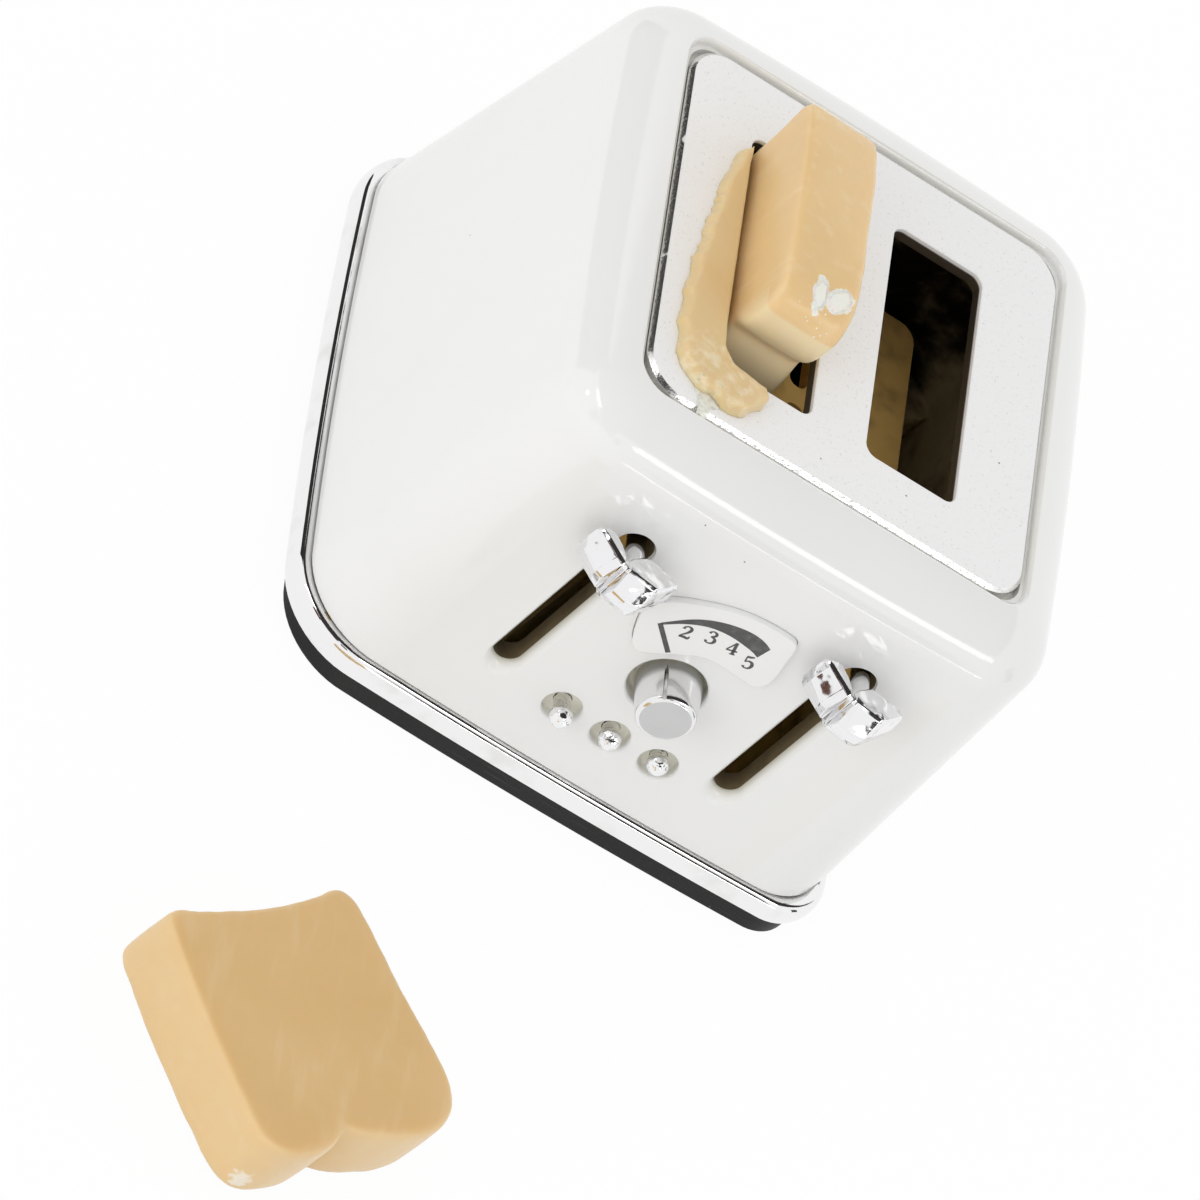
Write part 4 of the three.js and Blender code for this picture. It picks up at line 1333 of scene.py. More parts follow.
    def lever_cutters(self, side: Side) -> list[Piece]:
        """Cutters for one lever's slit, whose edges roll over into the panel, and for its keyhole."""
        x = FRAME.lever_x(side)
        rise = FRAME.keyhole_height - self.slit_low
        half = self.slit_width / 2
        deep = -FRAME.wall - self.pocket_depth - OVERRUN
        rings = [ring_at(stadium(half, rise, half, half), deep)]
        for grow, rise_left in rounding(self.roll_steps):
            wide, low, high = (
                half + (reach - half) * grow for reach in (self.pocket_rim, self.pocket_low, self.pocket_high)
            )
            rings.append(ring_at(stadium(wide, rise, low, high), -self.pocket_depth * rise_left))
        wide, low, high = (reach * self.slit_flare for reach in (wide, low, high))
        rings.append(ring_at(stadium(wide, rise, low, high), OVERRUN / 8))
        slit = loft("slit", rings)
        slit.data.transform(FRAME.panel(x, self.slit_low))
        lip = self.recess(self.keyhole_radius, self.keyhole_sink, x, FRAME.keyhole_height)
        radius = self.keyhole_radius - self.lip / 4
        return [slit, lip, self.hole(radius, x, FRAME.keyhole_height, self.keyhole_steps)]

    def finish_of(self, face: bpy.types.MeshPolygon) -> int:
        """The finish of a face: 0 for enamel, 1 for the bare inside and 2 for the slits' raw edges, darkened
        as painted shade.
        """
        centre, normal = face.center, face.normal
        step_in = centre.z * FRAME.lean
        front = (centre.y - FRAME.panel_foot - step_in) * math.cos(FRAME.draft)
        rear = FRAME.along / 2 - step_in - centre.y
        side = FRAME.across / 2 - step_in - abs(centre.x)
        under_plate = centre.z < FRAME.plate_top - FRAME.plate_thickness - self.seat_blend
        faces_in = normal.x * centre.x + normal.y * centre.y < 0 or normal.z < self.down_limit
        inside = min(front, rear, side) > FRAME.wall * self.inside_share and under_plate
        if inside and (faces_in or centre.z < self.boss_top + self.margin):
            return 1
        near_lever = min(abs(centre.x - FRAME.lever_x(s)) for s in Side) < self.keyhole_radius
        at_slit = self.slit_low - self.slit_width < centre.z < FRAME.keyhole_height + self.keyhole_radius
        raw = self.pocket_depth * self.raw_share < front < FRAME.wall + self.margin
        return 2 if near_lever and at_slit and raw else 0

    def make(self) -> None:
        """Builds and dresses the casting."""
        body = self.shell()
        carve(body, self.plate_seat())
        for side in Side:
            carve(body, self.lever_cutters(side))
        spots = [(self.dial_recess, self.dial_depth, self.dial_hole, 0, FRAME.dial_height)]
        for step in (-1, 0, 1):
            x = step * FRAME.pin_spacing
            spots.append((self.pin_recess, self.pin_depth, self.pin_hole, x, FRAME.pin_height))
        for radius, depth, hole, x, z in spots:
            carve(body, [self.recess(radius, depth, x, z)])
            carve(body, [self.hole(hole, x, z)])
        outline = ScalePlate().outline(self.label_gap)
        seat = loft("label_seat", [ring_at(outline, z) for z in (-self.label_seat, OVERRUN)])
        seat.data.transform(FRAME.panel(0, FRAME.dial_height))
        carve(body, [seat])
        shaded(body)
        finishes = [ENAMEL, CASTING_INSIDE, RAW_EDGE_IN_SHADE]
        finished(body, finishes, Body.TOASTER, ["housing"], self.finish_of)


@dataclass
class TopPlate:
    """The sprayed plate with its bevelled edge and the two bread slots."""

    edge: float = 0.17
    slot_width: float = 4.6
    slot_length: float = 12.5
    slot_spacing: float = 7.4
    slot_back: float = 0.1
    slot_corner: float = 0.55
    slot_burr: float = 0.08

    def make(self) -> None:
        """Builds and dresses the plate."""
        top = FRAME.plate_top
        bottom = top - FRAME.plate_thickness
        rings = []
        for inset, z in ((0.0, bottom), (0.0, top - self.edge), (self.edge, top)):
            across, along = FRAME.plate_across - 2 * inset, FRAME.plate_along - 2 * inset
            outline = bowed_outline(across, along, FRAME.plate_corner - inset, side_steps=2)
            rings.append(ring_at(outline, z))
        plate = moved(loft("sprayed_top_plate", rings), 0, FRAME.plate_back)
        outline = bowed_outline(self.slot_width, self.slot_length, self.slot_corner, side_steps=2)
        for side in Side:
            slot = loft("slot", [ring_at(outline, bottom - OVERRUN), ring_at(outline, top + OVERRUN)])
            carve(plate, [moved(slot, FRAME.shift + side.value * self.slot_spacing / 2, self.slot_back)])
        bevelled(plate, self.slot_burr, angle=60, segments=2)
        shaded(plate)
        finished(plate, [PLATE_PAINT], Body.TOASTER, ["top_plate"])


@dataclass
class Foot:
    """The half-round chrome band, the black base and the screws that hold them."""

    bulge: float = 0.32
    depth: float = 1.15
    band_faces: int = 48
    band_left: float = -0.2
    base_inset: float = 0.33
    base_left: float = 0.22
    base_right: float = -0.13
    base_front: float = -0.13
    base_edge: float = 0.12
    base_steps: int = 5
    rim_gap: float = 0.15
    rim_wall: float = 1.0
    screw_inset: float = 3.2
    head_radius: float = 0.85
    head_height: float = 0.46
    head_sink: float = 0.14
    head_gap: float = 0.14
    shank_radius: float = 0.4
    shank_length: float = 4.4
    cross_width: float = 0.26
    cross_depth: float = 0.22
    cross_share: float = 1.2  # of the head's radius
    head_bevel: float = 0.05
    inner_share: float = 0.97  # of the base's thickness, over which its faces are bare inside

    def band(self) -> None:
        """Sweeps the band's half-round section along the foot with Geometry Nodes."""
        tree = GrowthTree("half_round_band")
        sizes = (("Bulge", self.bulge), ("Depth", self.depth), ("Height", FRAME.band_height))
        bulge, depth, height = (tree.size(*pair) for pair in sizes)
        path = tree.node("GeometryNodeMeshToCurve", inputs={0: tree.seed_geometry})
        path = tree.node("GeometryNodeSetCurveNormal", {"mode": "Z_UP"}, {"Curve": path})
        inputs = {"Resolution": self.band_faces, "Radius": 1.0}
        circle = tree.node("GeometryNodeCurvePrimitiveCircle", inputs=inputs)
        x, y, _ = tree.split(tree.node("GeometryNodeInputPosition"))
        out = (x | 0.0) * bulge + (x & 0.0) * depth
        section = tree.node("ShaderNodeCombineXYZ", inputs={0: out, 1: y * height * 0.5})
        profile = tree.node("GeometryNodeSetPosition", inputs={"Geometry": circle, "Position": section})
        band = tree.node("GeometryNodeCurveToMesh", inputs={"Curve": path, "Profile Curve": profile})
        tree.finish(band, BAND_CHROME.material())
        middle = FRAME.base_thickness + FRAME.band_height / 2
        ring = FRAME.foot_ring(middle, FRAME.band_top * FRAME.lean, left=self.band_left)
        seed = mesh_piece("path", ring, [])
        count = len(ring)
        seed.data.edges.add(count)
        for i, edge in enumerate(seed.data.edges):
            edge.vertices = (i, (i + 1) % count)
        made = tree.run("half_round_chrome_band", seed)
        shaded(outwards(made), crease=60, weighted=False)
        finished(made, [BAND_CHROME], Body.TOASTER, ["chrome_band"])

    def base(self) -> None:
        """Builds the base plate with its rim and the screws' recesses."""
        rings = []
        for up, across in rounding(self.base_steps):
            rings.append(self.base_ring(self.base_edge * up, self.base_inset + self.base_edge * across))
        rings.append(self.base_ring(FRAME.base_thickness, self.base_inset))
        plate = loft("black_base_plate", rings)
        inset = FRAME.band_top * FRAME.lean + self.depth + self.rim_gap
        thick, high = FRAME.base_thickness, FRAME.band_top
        rim = [FRAME.foot_ring(z, inset) for z in (thick / 2, high)]
        well = [FRAME.foot_ring(z, inset + self.rim_wall) for z in (thick, high + OVERRUN)]
        carve(plate, [loft("rim", rim)], "UNION")
        carve(plate, [loft("well", well)])
        seat = self.head_sink + self.head_height
        wide = self.head_radius + self.head_gap
        for x, y in FRAME.corners(self.screw_inset):
            carve(plate, [moved(drum("recess", wide, -OVERRUN, seat, 32), x, y)])
        shaded(plate)
        finishes = [FOOT_PLASTIC, BASE_INSIDE_LIT]
        finished(plate, finishes, Body.TOASTER, ["base_plate"], self.base_finish)

    def base_finish(self, face: bpy.types.MeshPolygon) -> int:
        """The finish of one face of the base: 1 inside its rim and 0 elsewhere."""
        return int(face.center.z > FRAME.base_thickness * self.inner_share)

    def base_ring(self, z: float, inset: float) -> Ring:
        """The base's own outline, which stands a little to the front right of the band's."""
        return FRAME.foot_ring(z, inset, self.base_left, self.base_right, self.base_front)

    def screws(self) -> None:
        """Sets one screw at each corner with Geometry Nodes."""
        tree = GrowthTree("base_screws")
        names = ("head_radius", "head_height", "shank_radius", "shank_length", "cross_width", "cross_depth")
        sizes = (tree.size(name.replace("_", " ").title(), getattr(self, name)) for name in names)
        head, tall, shank, length, width, sunk = sizes

        def cylinder(radius: Value, depth: Value, middle: Value, sides: int) -> Socket:
            """An upright cylinder whose middle is at a height."""
            inputs = {"Vertices": sides, "Radius": radius, "Depth": depth}
            rod = tree.node("GeometryNodeMeshCylinder", inputs=inputs)
            up = tree.node("ShaderNodeCombineXYZ", inputs={2: middle})
            return tree.node("GeometryNodeTransform", inputs={"Geometry": rod, "Translation": up})

        def bar(across: Value, along: Value) -> Socket:
            """One arm of the driver's cross."""
            size = tree.node("ShaderNodeCombineXYZ", inputs={0: across, 1: along, 2: sunk * 2.0})
            return tree.node("GeometryNodeMeshCube", inputs={"Size": size})

        crown = cylinder(head, tall, tall * 0.5, 36)
        rod = cylinder(shank, length + tall, (length + tall) * 0.5, 20)
        whole = tree.boolean("UNION", (crown, rod))
        arm = head * self.cross_share
        screw = tree.boolean("DIFFERENCE", (bar(width, arm), bar(arm, width)), whole)
        inputs = {"Points": tree.seed_geometry, "Instance": screw}
        placed = tree.node("GeometryNodeInstanceOnPoints", inputs=inputs)
        tree.finish(placed, SCREW_STEEL.material())
        places = ring_at(FRAME.corners(self.screw_inset), self.head_sink)
        seed = mesh_piece("places", places, [])
        made = outwards(tree.run("base_screws", seed))
        bevelled(made, self.head_bevel, angle=50, segments=2)
        shaded(made)
        names = [f"base_screw_{end}_{side}" for end in ("front", "rear") for side in ("left", "right")]
        finished(made, [SCREW_STEEL], Body.TOASTER, names)

    def make(self) -> None:
        """Builds the band, the base and the screws."""
        self.band()
        self.base()
        self.screws()


@dataclass
class ScalePlate:
    """The raised fan-shaped plate over the dial, with its printed scale of plain numbers."""

    thickness: float = 0.42
    sunk: float = 0.11
    reach: float = 5.8
    edge: float = 0.07
    edge_steps: int = 4
    print_height: float = 0.012
    bar_width: float = 0.21
    digit_height: float = 0.7
    digit_width: float = 0.66
    digit_middle: Flat = (0.36, 0.5)
    digit_steps: int = 5
    boldness: float = 1.3
    outline_steps: int = 4
    wedge_steps: int = 6
    outline_shares: tuple[Flat, ...] = (
        (-0.625, 0.56), (-0.6, 0.66), (-0.53, 0.745), (-0.4, 0.83), (-0.24, 0.91), (-0.08, 0.967),
        (0.09, 0.995), (0.25, 1), (0.36, 0.985), (0.4, 0.93), (0.425, 0.8), (0.455, 0.67),
        (0.465, 0.57), (0.44, 0.49), (0.37, 0.46), (0.24, 0.468), (0.08, 0.474), (-0.05, 0.448),
        (-0.16, 0.37), (-0.28, 0.282), (-0.38, 0.215), (-0.44, 0.207), (-0.5, 0.255),
        (-0.555, 0.35), (-0.6, 0.46),
    )
    wedge_outer: tuple[Flat, ...] = (
        (-2.72, 12.42), (-2.0, 13.3), (-1.4, 13.8), (-0.7, 14.15), (0.0, 14.35), (0.6, 14.4),
        (1.1, 14.32), (1.5, 14.15),
    )
    wedge_inner: tuple[Flat, ...] = (
        (-2.6, 12.38), (-2.0, 12.97), (-1.35, 13.4), (-0.7, 13.62), (0.0, 13.68), (0.7, 13.62),
        (1.1, 13.55), (1.38, 13.45),
    )
    start_bar: tuple[Flat, ...] = ((-2.72, 12.38), (-1.45, 11.28))
    digit_places: tuple[tuple[str, float, float, float], ...] = (
        ("2", -1.62, 12.68, 16),
        ("3", -0.68, 13.12, 16),
        ("4", 0.32, 13.2, 18),
        ("5", 1.3, 13.0, 22),
    )

    def outline(self, grow: float = 0.0) -> list[Flat]:
        """The plate's outline round the dial's axis, moved out by grow."""
        points = [(x * self.reach, y * self.reach) for x, y in self.outline_shares]
        return anticlockwise(offset_outline(smooth_path(points, self.outline_steps, closed=True), grow))

    def on_scale(self, x: float, z: float) -> Flat:
        """A place on the panel, by its height over the table, as a place round the dial's axis."""
        return x, (z - FRAME.dial_height) / math.cos(FRAME.draft)

    def strip(self, centre: Sequence[Flat], widths: Sequence[float]) -> tuple[list[Flat], list[Flat]]:
        """The two edges of a stroke that follows a centre line with changing width.

        Args:
            centre: the line's points.
            widths: the stroke's width at each of them.

        Returns:
            The left and the right edge.
        """
        left, right = [], []
        for i, (x, y) in enumerate(centre):
            before = Vector(centre[max(i - 1, 0)])
            after = Vector(centre[min(i + 1, len(centre) - 1)])
            along = (after - before).normalized()
            left.append((x - along.y * widths[i] / 2, y + along.x * widths[i] / 2))
            right.append((x + along.y * widths[i] / 2, y - along.x * widths[i] / 2))
        return left, right

    def ink(self, strokes: Sequence[tuple[list[Flat], list[Flat]]], face: float) -> Piece:
        """Thin raised print from pairs of edges.

        Args:
            strokes: the edges of each stroke.
            face: the height at which it starts.

        Returns:
            The print.
        """
        points: list[Place] = []
        faces: list[tuple[int, ...]] = []
        for left, right in strokes:
            start, count = len(points), len(left)
            for level in (face, face + self.print_height):
                points += [(x, y, level) for x, y in left] + [(x, y, level) for x, y in right]
            low_l, low_r = start, start + count
            top_l, top_r = start + 2 * count, start + 3 * count
            for i in range(count - 1):
                faces.append((top_l + i, top_r + i, top_r + i + 1, top_l + i + 1))
                faces.append((low_l + i, low_l + i + 1, low_r + i + 1, low_r + i))
                faces.append((low_l + i, top_l + i, top_l + i + 1, low_l + i + 1))
                faces.append((low_r + i, low_r + i + 1, top_r + i + 1, top_r + i))
            last = count - 1
            faces.append((low_l, low_r, top_r, top_l))
            faces.append((low_l + last, top_l + last, top_r + last, low_r + last))
        return mesh_piece("scale_print", points, faces)

    def digit(self, name: str, x: float, z: float, lean: float) -> list[tuple[list[Flat], list[Flat]]]:
        """The strokes of one digit, turned by lean degrees about its middle.

        Args:
            name: the digit.
            x: its middle along X.
            z: its middle along Z.
            lean: the turn.

        Returns:
            The edges of each stroke.
        """
        turn = Matrix.Rotation(math.radians(lean), 2)
        middle = Vector(self.on_scale(x, z))
        strokes = []
        for nodes in DIGIT_STROKES[name]:
            size = Vector((self.digit_width, self.digit_height))
            mx, my = self.digit_middle
            path = [((px - mx) * size.x, (py - my) * size.y) for px, py, _ in nodes]
            steps = self.digit_steps if len(nodes) > 2 else 1
            centre = smooth_path(path, steps)
            widths = []
            for i in range(len(centre)):
                k, t = divmod(i / steps, 1)
                low = nodes[min(int(k), len(nodes) - 1)][2]
                high = nodes[min(int(k) + 1, len(nodes) - 1)][2]
                widths.append((low + (high - low) * t) * self.digit_height * self.boldness)
            placed = [tuple(middle + turn @ Vector(p)) for p in centre]
            strokes.append(self.strip(placed, widths))
        return strokes

    def make(self) -> None:
        """Builds the plate and its print."""
        foot = -self.sunk
        top = foot + self.thickness
        rings = [ring_at(self.outline(), foot)]
        for inset, rise in rounding(self.edge_steps):
            rings.append(ring_at(self.outline(-self.edge * inset), top - self.edge * rise))
        plate = loft("raised_scale_plate", rings)
        place = FRAME.panel(0, FRAME.dial_height)
        plate.data.transform(place)
        shaded(plate)
        finished(plate, [LABEL_GLOSS], Body.TOASTER, ["scale_label"])

        outer = [self.on_scale(*p) for p in self.wedge_outer]
        inner = [self.on_scale(*p) for p in self.wedge_inner]
        strokes = [(smooth_path(outer, self.wedge_steps), smooth_path(inner, self.wedge_steps))]
        strokes.append(self.strip([self.on_scale(*p) for p in self.start_bar], [self.bar_width] * 2))
        for name, x, z, lean in self.digit_places:
            strokes += self.digit(name, x, z, lean)
        print_piece = outwards(self.ink(strokes, top - self.print_height / 4))
        print_piece.data.transform(place)
        finished(print_piece, [SCALE_INK], Body.TOASTER)


# Each stroke is a list of (across, up, width), as shares of the digit's height.
DIGIT_STROKES: dict[str, tuple[tuple[Place, ...], ...]] = {
    "2": (
        (
            (0.12, 0.72, 0.16), (0.14, 0.86, 0.09), (0.32, 0.98, 0.07), (0.55, 0.9, 0.13),
            (0.58, 0.7, 0.16), (0.42, 0.45, 0.11), (0.2, 0.24, 0.07), (0.06, 0.06, 0.07),
        ),
        ((0.05, 0.05, 0.08), (0.34, 0.09, 0.15), (0.6, 0.05, 0.13), (0.68, 0.24, 0.05)),
    ),
    "3": (
        (
            (0.12, 0.8, 0.15), (0.22, 0.96, 0.07), (0.4, 0.98, 0.08), (0.56, 0.86, 0.14),
            (0.54, 0.68, 0.13), (0.3, 0.54, 0.05),
        ),
        (
            (0.3, 0.54, 0.05), (0.54, 0.47, 0.11), (0.63, 0.28, 0.17), (0.54, 0.08, 0.12),
            (0.34, 0.01, 0.07), (0.14, 0.06, 0.08), (0.1, 0.2, 0.15),
        ),
    ),
    "4": (
        ((0.5, 0.0, 0.15), (0.5, 1.0, 0.15)),
        ((0.48, 0.98, 0.07), (0.05, 0.32, 0.07)),
        ((0.02, 0.3, 0.08), (0.74, 0.3, 0.08)),
        ((0.32, 0.02, 0.06), (0.68, 0.02, 0.06)),
    ),
    "5": (
        ((0.17, 0.94, 0.12), (0.4, 0.93, 0.13), (0.62, 0.99, 0.06)),
        ((0.18, 0.96, 0.07), (0.12, 0.5, 0.07)),
        (
            (0.12, 0.5, 0.05), (0.34, 0.6, 0.08), (0.56, 0.5, 0.14), (0.62, 0.28, 0.17),
            (0.52, 0.07, 0.12), (0.32, 0.0, 0.07), (0.14, 0.06, 0.08), (0.1, 0.18, 0.14),
        ),
    ),
}


@dataclass
class Dial:
    """The tapered chrome knob with its pointer notch."""

    recess_depth: float = 0.8
    floor_gap: float = 0.1
    base_radius: float = 1.44
    rim_radius: float = 1.27
    face_radius: float = 1.06
    off_axis: float = 0.08
    reach: float = 1.42
    bevel: float = 0.28
    bevel_steps: int = 8
    bulge_share: float = 0.18  # of the bevel
    soft: float = 0.06
    face_rise: float = 0.015
    face_share: float = 0.92  # of the face's radius
    shaft_radius: float = 0.45
    tail: float = 2.1
    notch_width: float = 0.17
    notch_depth: float = 0.12
    rest: float = math.radians(40)
    segments: int = 96

    def make(self) -> None:
        """Builds and dresses the knob."""
        foot = self.floor_gap - self.recess_depth
        soft = self.soft
        profile = [(0.0, -self.tail), (self.shaft_radius, -self.tail), (self.shaft_radius, foot)]
        profile += [(self.base_radius - soft, foot), (self.base_radius, foot + soft)]
        profile += [(self.rim_radius, self.reach - soft / 2)]
        for i in range(1, self.bevel_steps):
            t = i / self.bevel_steps
            bend = self.bevel * self.bulge_share * math.sin(math.pi * t)
            radius = self.rim_radius + (self.face_radius - self.rim_radius) * t + bend
            profile.append((radius, self.reach + self.bevel * t + bend * 0.6))
        top = self.reach + self.bevel
        face = top + self.face_rise
        profile += [(self.face_radius, top), (self.face_radius * self.face_share, face), (0.0, face)]
        knob = turned("pointer_dial", profile, self.segments)
        wide = self.notch_width
        notch = bowed_outline(wide, 2 * self.notch_depth, wide / 3, corner_steps=4, side_steps=1)
        low = foot + self.reach / 3
        tool = loft("notch", [ring_at(notch, low), ring_at(notch, low + self.reach - foot)])
        carve(knob, [moved(tool, 0, self.rim_radius)])
        shaded(knob, crease=28)
        panel = FRAME.panel(0, FRAME.dial_height)
        spot = Matrix.Translation((self.off_axis, 0, 0)) @ Matrix.Rotation(self.rest, 4, "Z")
        knob.data.transform(panel @ spot)
        out = panel.col[2].xyz
        front = (panel @ Vector((0, 0, top - soft / 4))).dot(out)

        def on_face(face: bpy.types.MeshPolygon) -> int:
            """1 on the knob's flat front and 0 elsewhere."""
            return int(face.center.dot(out) > front and face.normal.dot(out) > 0.9)

        finished(knob, [KNOB_CHROME, KNOB_FACE], Body.DIAL, ["dial_knob"], on_face)


@dataclass
class PushPins:
    """The three ball-headed pins, each pushed in by a different amount."""

    dome: float = 0.49
    shaft: float = 0.37
    tail: float = 0.55
    tail_thickness: float = 0.3
    tail_gap: float = 0.12
    stands: tuple[float, ...] = (0.47, 0.12, -0.05)
    steps: int = 16
    segments: int = 40

    def make(self) -> None:
        """Builds and dresses the pins."""
        bodies = (Body.LEFT_BUTTON, Body.MIDDLE_BUTTON, Body.RIGHT_BUTTON)
        wall = FRAME.wall * math.cos(FRAME.draft)
        for i, (name, body, stand) in enumerate(zip(("left", "middle", "right"), bodies, self.stands)):
            top = -(wall + self.tail_gap) + stand - self.stands[0]
            profile = [(0.0, top - self.tail_thickness), (self.tail, top - self.tail_thickness)]
            profile += [(self.tail, top), (self.shaft, top)]
            start = math.acos(self.shaft / self.dome)
            for k in range(self.steps):
                a = -start + (math.pi / 2 + start) * k / self.steps
                profile.append((self.dome * math.cos(a), stand + self.dome * math.sin(a)))
            profile.append((0.0, stand + self.dome))
            pin = turned(f"push_pin_{name}", profile, self.segments)
            pin.data.transform(FRAME.panel((i - 1) * FRAME.pin_spacing, FRAME.pin_height))
            shaded(pin, crease=40)
            finished(pin, [PIN_CHROME], body, [f"button_{name}"])


@dataclass(frozen=True)
class GripStation:
    """One cross-section of a grip. Its front and back are seen from above, and the panel's face is Y 0.

    Attributes:
        outward: the direction in which the front faces.
        half_height: how high the upper side is over the stem's axis.
        crest: how far the front's middle stands out.
        drop: how much further the lower side is from the axis than the upper one.
    """

    front: Flat
    outward: Flat
    back: Flat
    half_height: float
    crest: float
    drop: float


@dataclass
class LiftLever:
    """A chrome grip with two cushions and a rib between them, on its stem. Each row is a station."""

    side: Side
    rise: float
    chamfer: float = 0.08
    edge: float = 0.05
    stem_radius: float = 0.42
    stem_start: float = -1.3
    stem_segments: int = 40
    crest_scale: float = 1.6
    rear_share: float = 0.1  # of the grip's depth, where the rear edges end
    tab_face: float = 10.95
    tab_thickness: float = 0.4
    tail: float = 0.55
    rows: tuple[tuple[Flat, Flat, Flat, float, float, float], ...] = (
        ((-2.25, -0.66), (-0.68, -0.73), (-2.1, -0.56), 0.66, 0, 0.1),
        ((-2.12, -0.78), (-0.68, -0.73), (-1.85, -0.56), 0.84, 0.07, 0.2),
        ((-1.95, -0.93), (-0.68, -0.73), (-1.45, -0.6), 0.875, 0.2, 0.27),
        ((-1.2, -1.61), (-0.68, -0.73), (-1.1, -1.0), 0.875, 0.3, 0.3),
        ((-0.95, -1.84), (-0.68, -0.73), (-0.88, -1.45), 0.875, 0.22, 0.3),
        ((-0.87, -1.87), (-0.45, -0.89), (-0.82, -1.55), 0.8, -0.04, 0.33),
        ((-0.77, -2.03), (-0.42, -0.9), (-0.74, -1.55), 0.875, 0.24, 0.36),
        ((-0.66, -1.98), (-0.3, -0.95), (-0.62, -1.45), 0.8, -0.04, 0.36),
        ((-0.57, -2.06), (-0.156, -0.988), (-0.48, -1.3), 0.875, 0.22, 0.4),
        ((0.1, -2.16), (-0.156, -0.988), (0.1, -0.85), 0.875, 0.28, 0.42),
        ((0.72, -2.25), (-0.156, -0.988), (0.6, -0.85), 0.875, 0.18, 0.42),
        ((0.95, -2.15), (0.3, -0.95), (0.9, -0.95), 0.84, 0.04, 0.38),
        ((1.77, -1.35), (0.739, -0.674), (1.5, -1.0), 0.8, 0.02, 0.3),
        ((1.87, -1.22), (0.739, -0.674), (1.77, -1.08), 0.7, 0, 0.2),
    )

    def section(self, station: GripStation) -> Ring:
        """The ring of points round one station, from the upper back to the lower back."""
        front, back = Vector((*station.front, 0)), Vector((*station.back, 0))
        outward = Vector((*station.outward, 0))
        tall, soft = station.half_height, self.chamfer
        crest = front + outward * (station.crest * self.crest_scale + soft)
        rear = back + (front - back) * self.rear_share
        low = tall + station.drop
        middle = (tall - low) / 2
        heights = [
            (back, tall - soft),
            (rear, tall),
            (front - outward * soft, tall),
            (front + outward * soft * 0.5, tall - soft * 1.5),
            (crest, middle + soft),
            (crest, middle - soft),
            (front + outward * soft * 0.5, soft * 1.5 - low),
            (front - outward * soft, -low),
            (rear, -low),
            (back, soft - low),
        ]
        return [point + Vector((0, 0, z)) for point, z in heights]

    def make(self) -> None:
        """Builds and dresses the grip and stem."""
        name = self.side.name.lower()
        z = FRAME.keyhole_height + self.rise
        panel_y = FRAME.panel_foot + z * FRAME.lean
        grip = outwards(loft("grip", [self.section(GripStation(*row)) for row in self.rows]))
        handle = bevelled(grip, self.edge, angle=12)
        handle.name = f"lift_lever_{name}"
        start = self.stem_start
        length = -self.tab_face + self.tab_thickness + self.tail - panel_y - start
        stem = drum("stem", self.stem_radius, 0, length, self.stem_segments)
        stem.data.transform(Matrix.Translation((0, start, 0)) @ Matrix.Rotation(-math.pi / 2, 4, "X"))
        carve(handle, [stem], "UNION")
        shaded(handle, crease=20)
        handle.data.transform(Matrix.Translation((FRAME.lever_x(self.side), panel_y, z)))
        body = Body.LEFT_LEVER if self.side is Side.LEFT else Body.RIGHT_LEVER
        finished(handle, [GRIP_CHROME], body, [f"lever_handle_{name}"])


# Toast


@dataclass(frozen=True)
class SliceShape:
    """The outline of a slice with its cleft lobes. The height runs along X, the lobes face -Y."""

    cleft_share: float
    height: float = 11.2
    breadth: float = 11.0
    thickness: float = 3.6
    corner: float = 1.7
    hollow: float = 0.5
    cleft: float = 1.0

    def outline(self, steps: int = 14) -> list[Flat]:
        """The outline's points."""
        half, r, lobes = self.height / 2, self.corner, -self.breadth
        dip = -half + self.height * self.cleft_share
        start = (-half + r * 0.75, -self.hollow * 0.1)
        bends = [
            ((-half + r * 0.3, r * 0.05), (-half + r * 0.1, -r * 0.2), (-half + r * 0.07, -r)),
            ((-half - r * 0.05, lobes * 0.45), (-half, lobes * 0.6), (-half + r * 0.12, lobes + r * 1.1)),
            ((-half + r * 0.2, lobes + r * 0.3), (-half + r * 0.6, lobes), ((dip - half) / 2, lobes)),
            ((dip - r * 0.5, lobes), (dip - r * 0.12, lobes + self.cleft * 0.5), (dip, lobes + self.cleft)),
            (
                (dip + r * 0.15, lobes + self.cleft * 0.5),
                (dip + r * 0.9, lobes + self.cleft * 0.2),
                (dip + (half - dip) * 0.5, lobes + self.cleft * 0.1),
            ),
            ((half - r * 0.6, lobes), (half + r * 0.05, lobes + r * 0.5), (half + r * 0.12, lobes + r * 1.3)),
            ((half, lobes * 0.6), (half - r * 0.3, lobes * 0.4), (half - r * 0.38, -r)),
            ((half - r * 0.38, -r * 0.2), (half - r * 0.7, r * 0.05), (half - r * 1.1, -self.hollow * 0.1)),
            ((half * 0.5, -self.hollow * 1.25), (-half * 0.5, -self.hollow * 1.25), start),
        ]
        points: list[Flat] = []
        for a, b, end in bends:
            for i in range(steps):
                t = i / steps
                u = 1 - t
                weights = (u**3, 3 * u * u * t, 3 * u * t * t, t**3)
                nodes = (start, a, b, end)
                points.append(tuple(sum(w * p[k] for w, p in zip(weights, nodes)) for k in (0, 1)))
            start = end
        return anticlockwise(points)

    def solid(self, name: str, seed: float) -> Piece:
        """A soft-edged cast slice, its left face at z = 0."""
        outline = self.outline()
        slice_piece = loft(name, [ring_at(outline, 0), ring_at(outline, self.thickness)])
        remeshed(slice_piece, grain=0.11, rounds=80)
        wrinkled(slice_piece, depth=0.08, size=3.5, seed=seed)
        wrinkled(slice_piece, depth=0.015, size=0.8, seed=seed + 5)
        return slice_piece


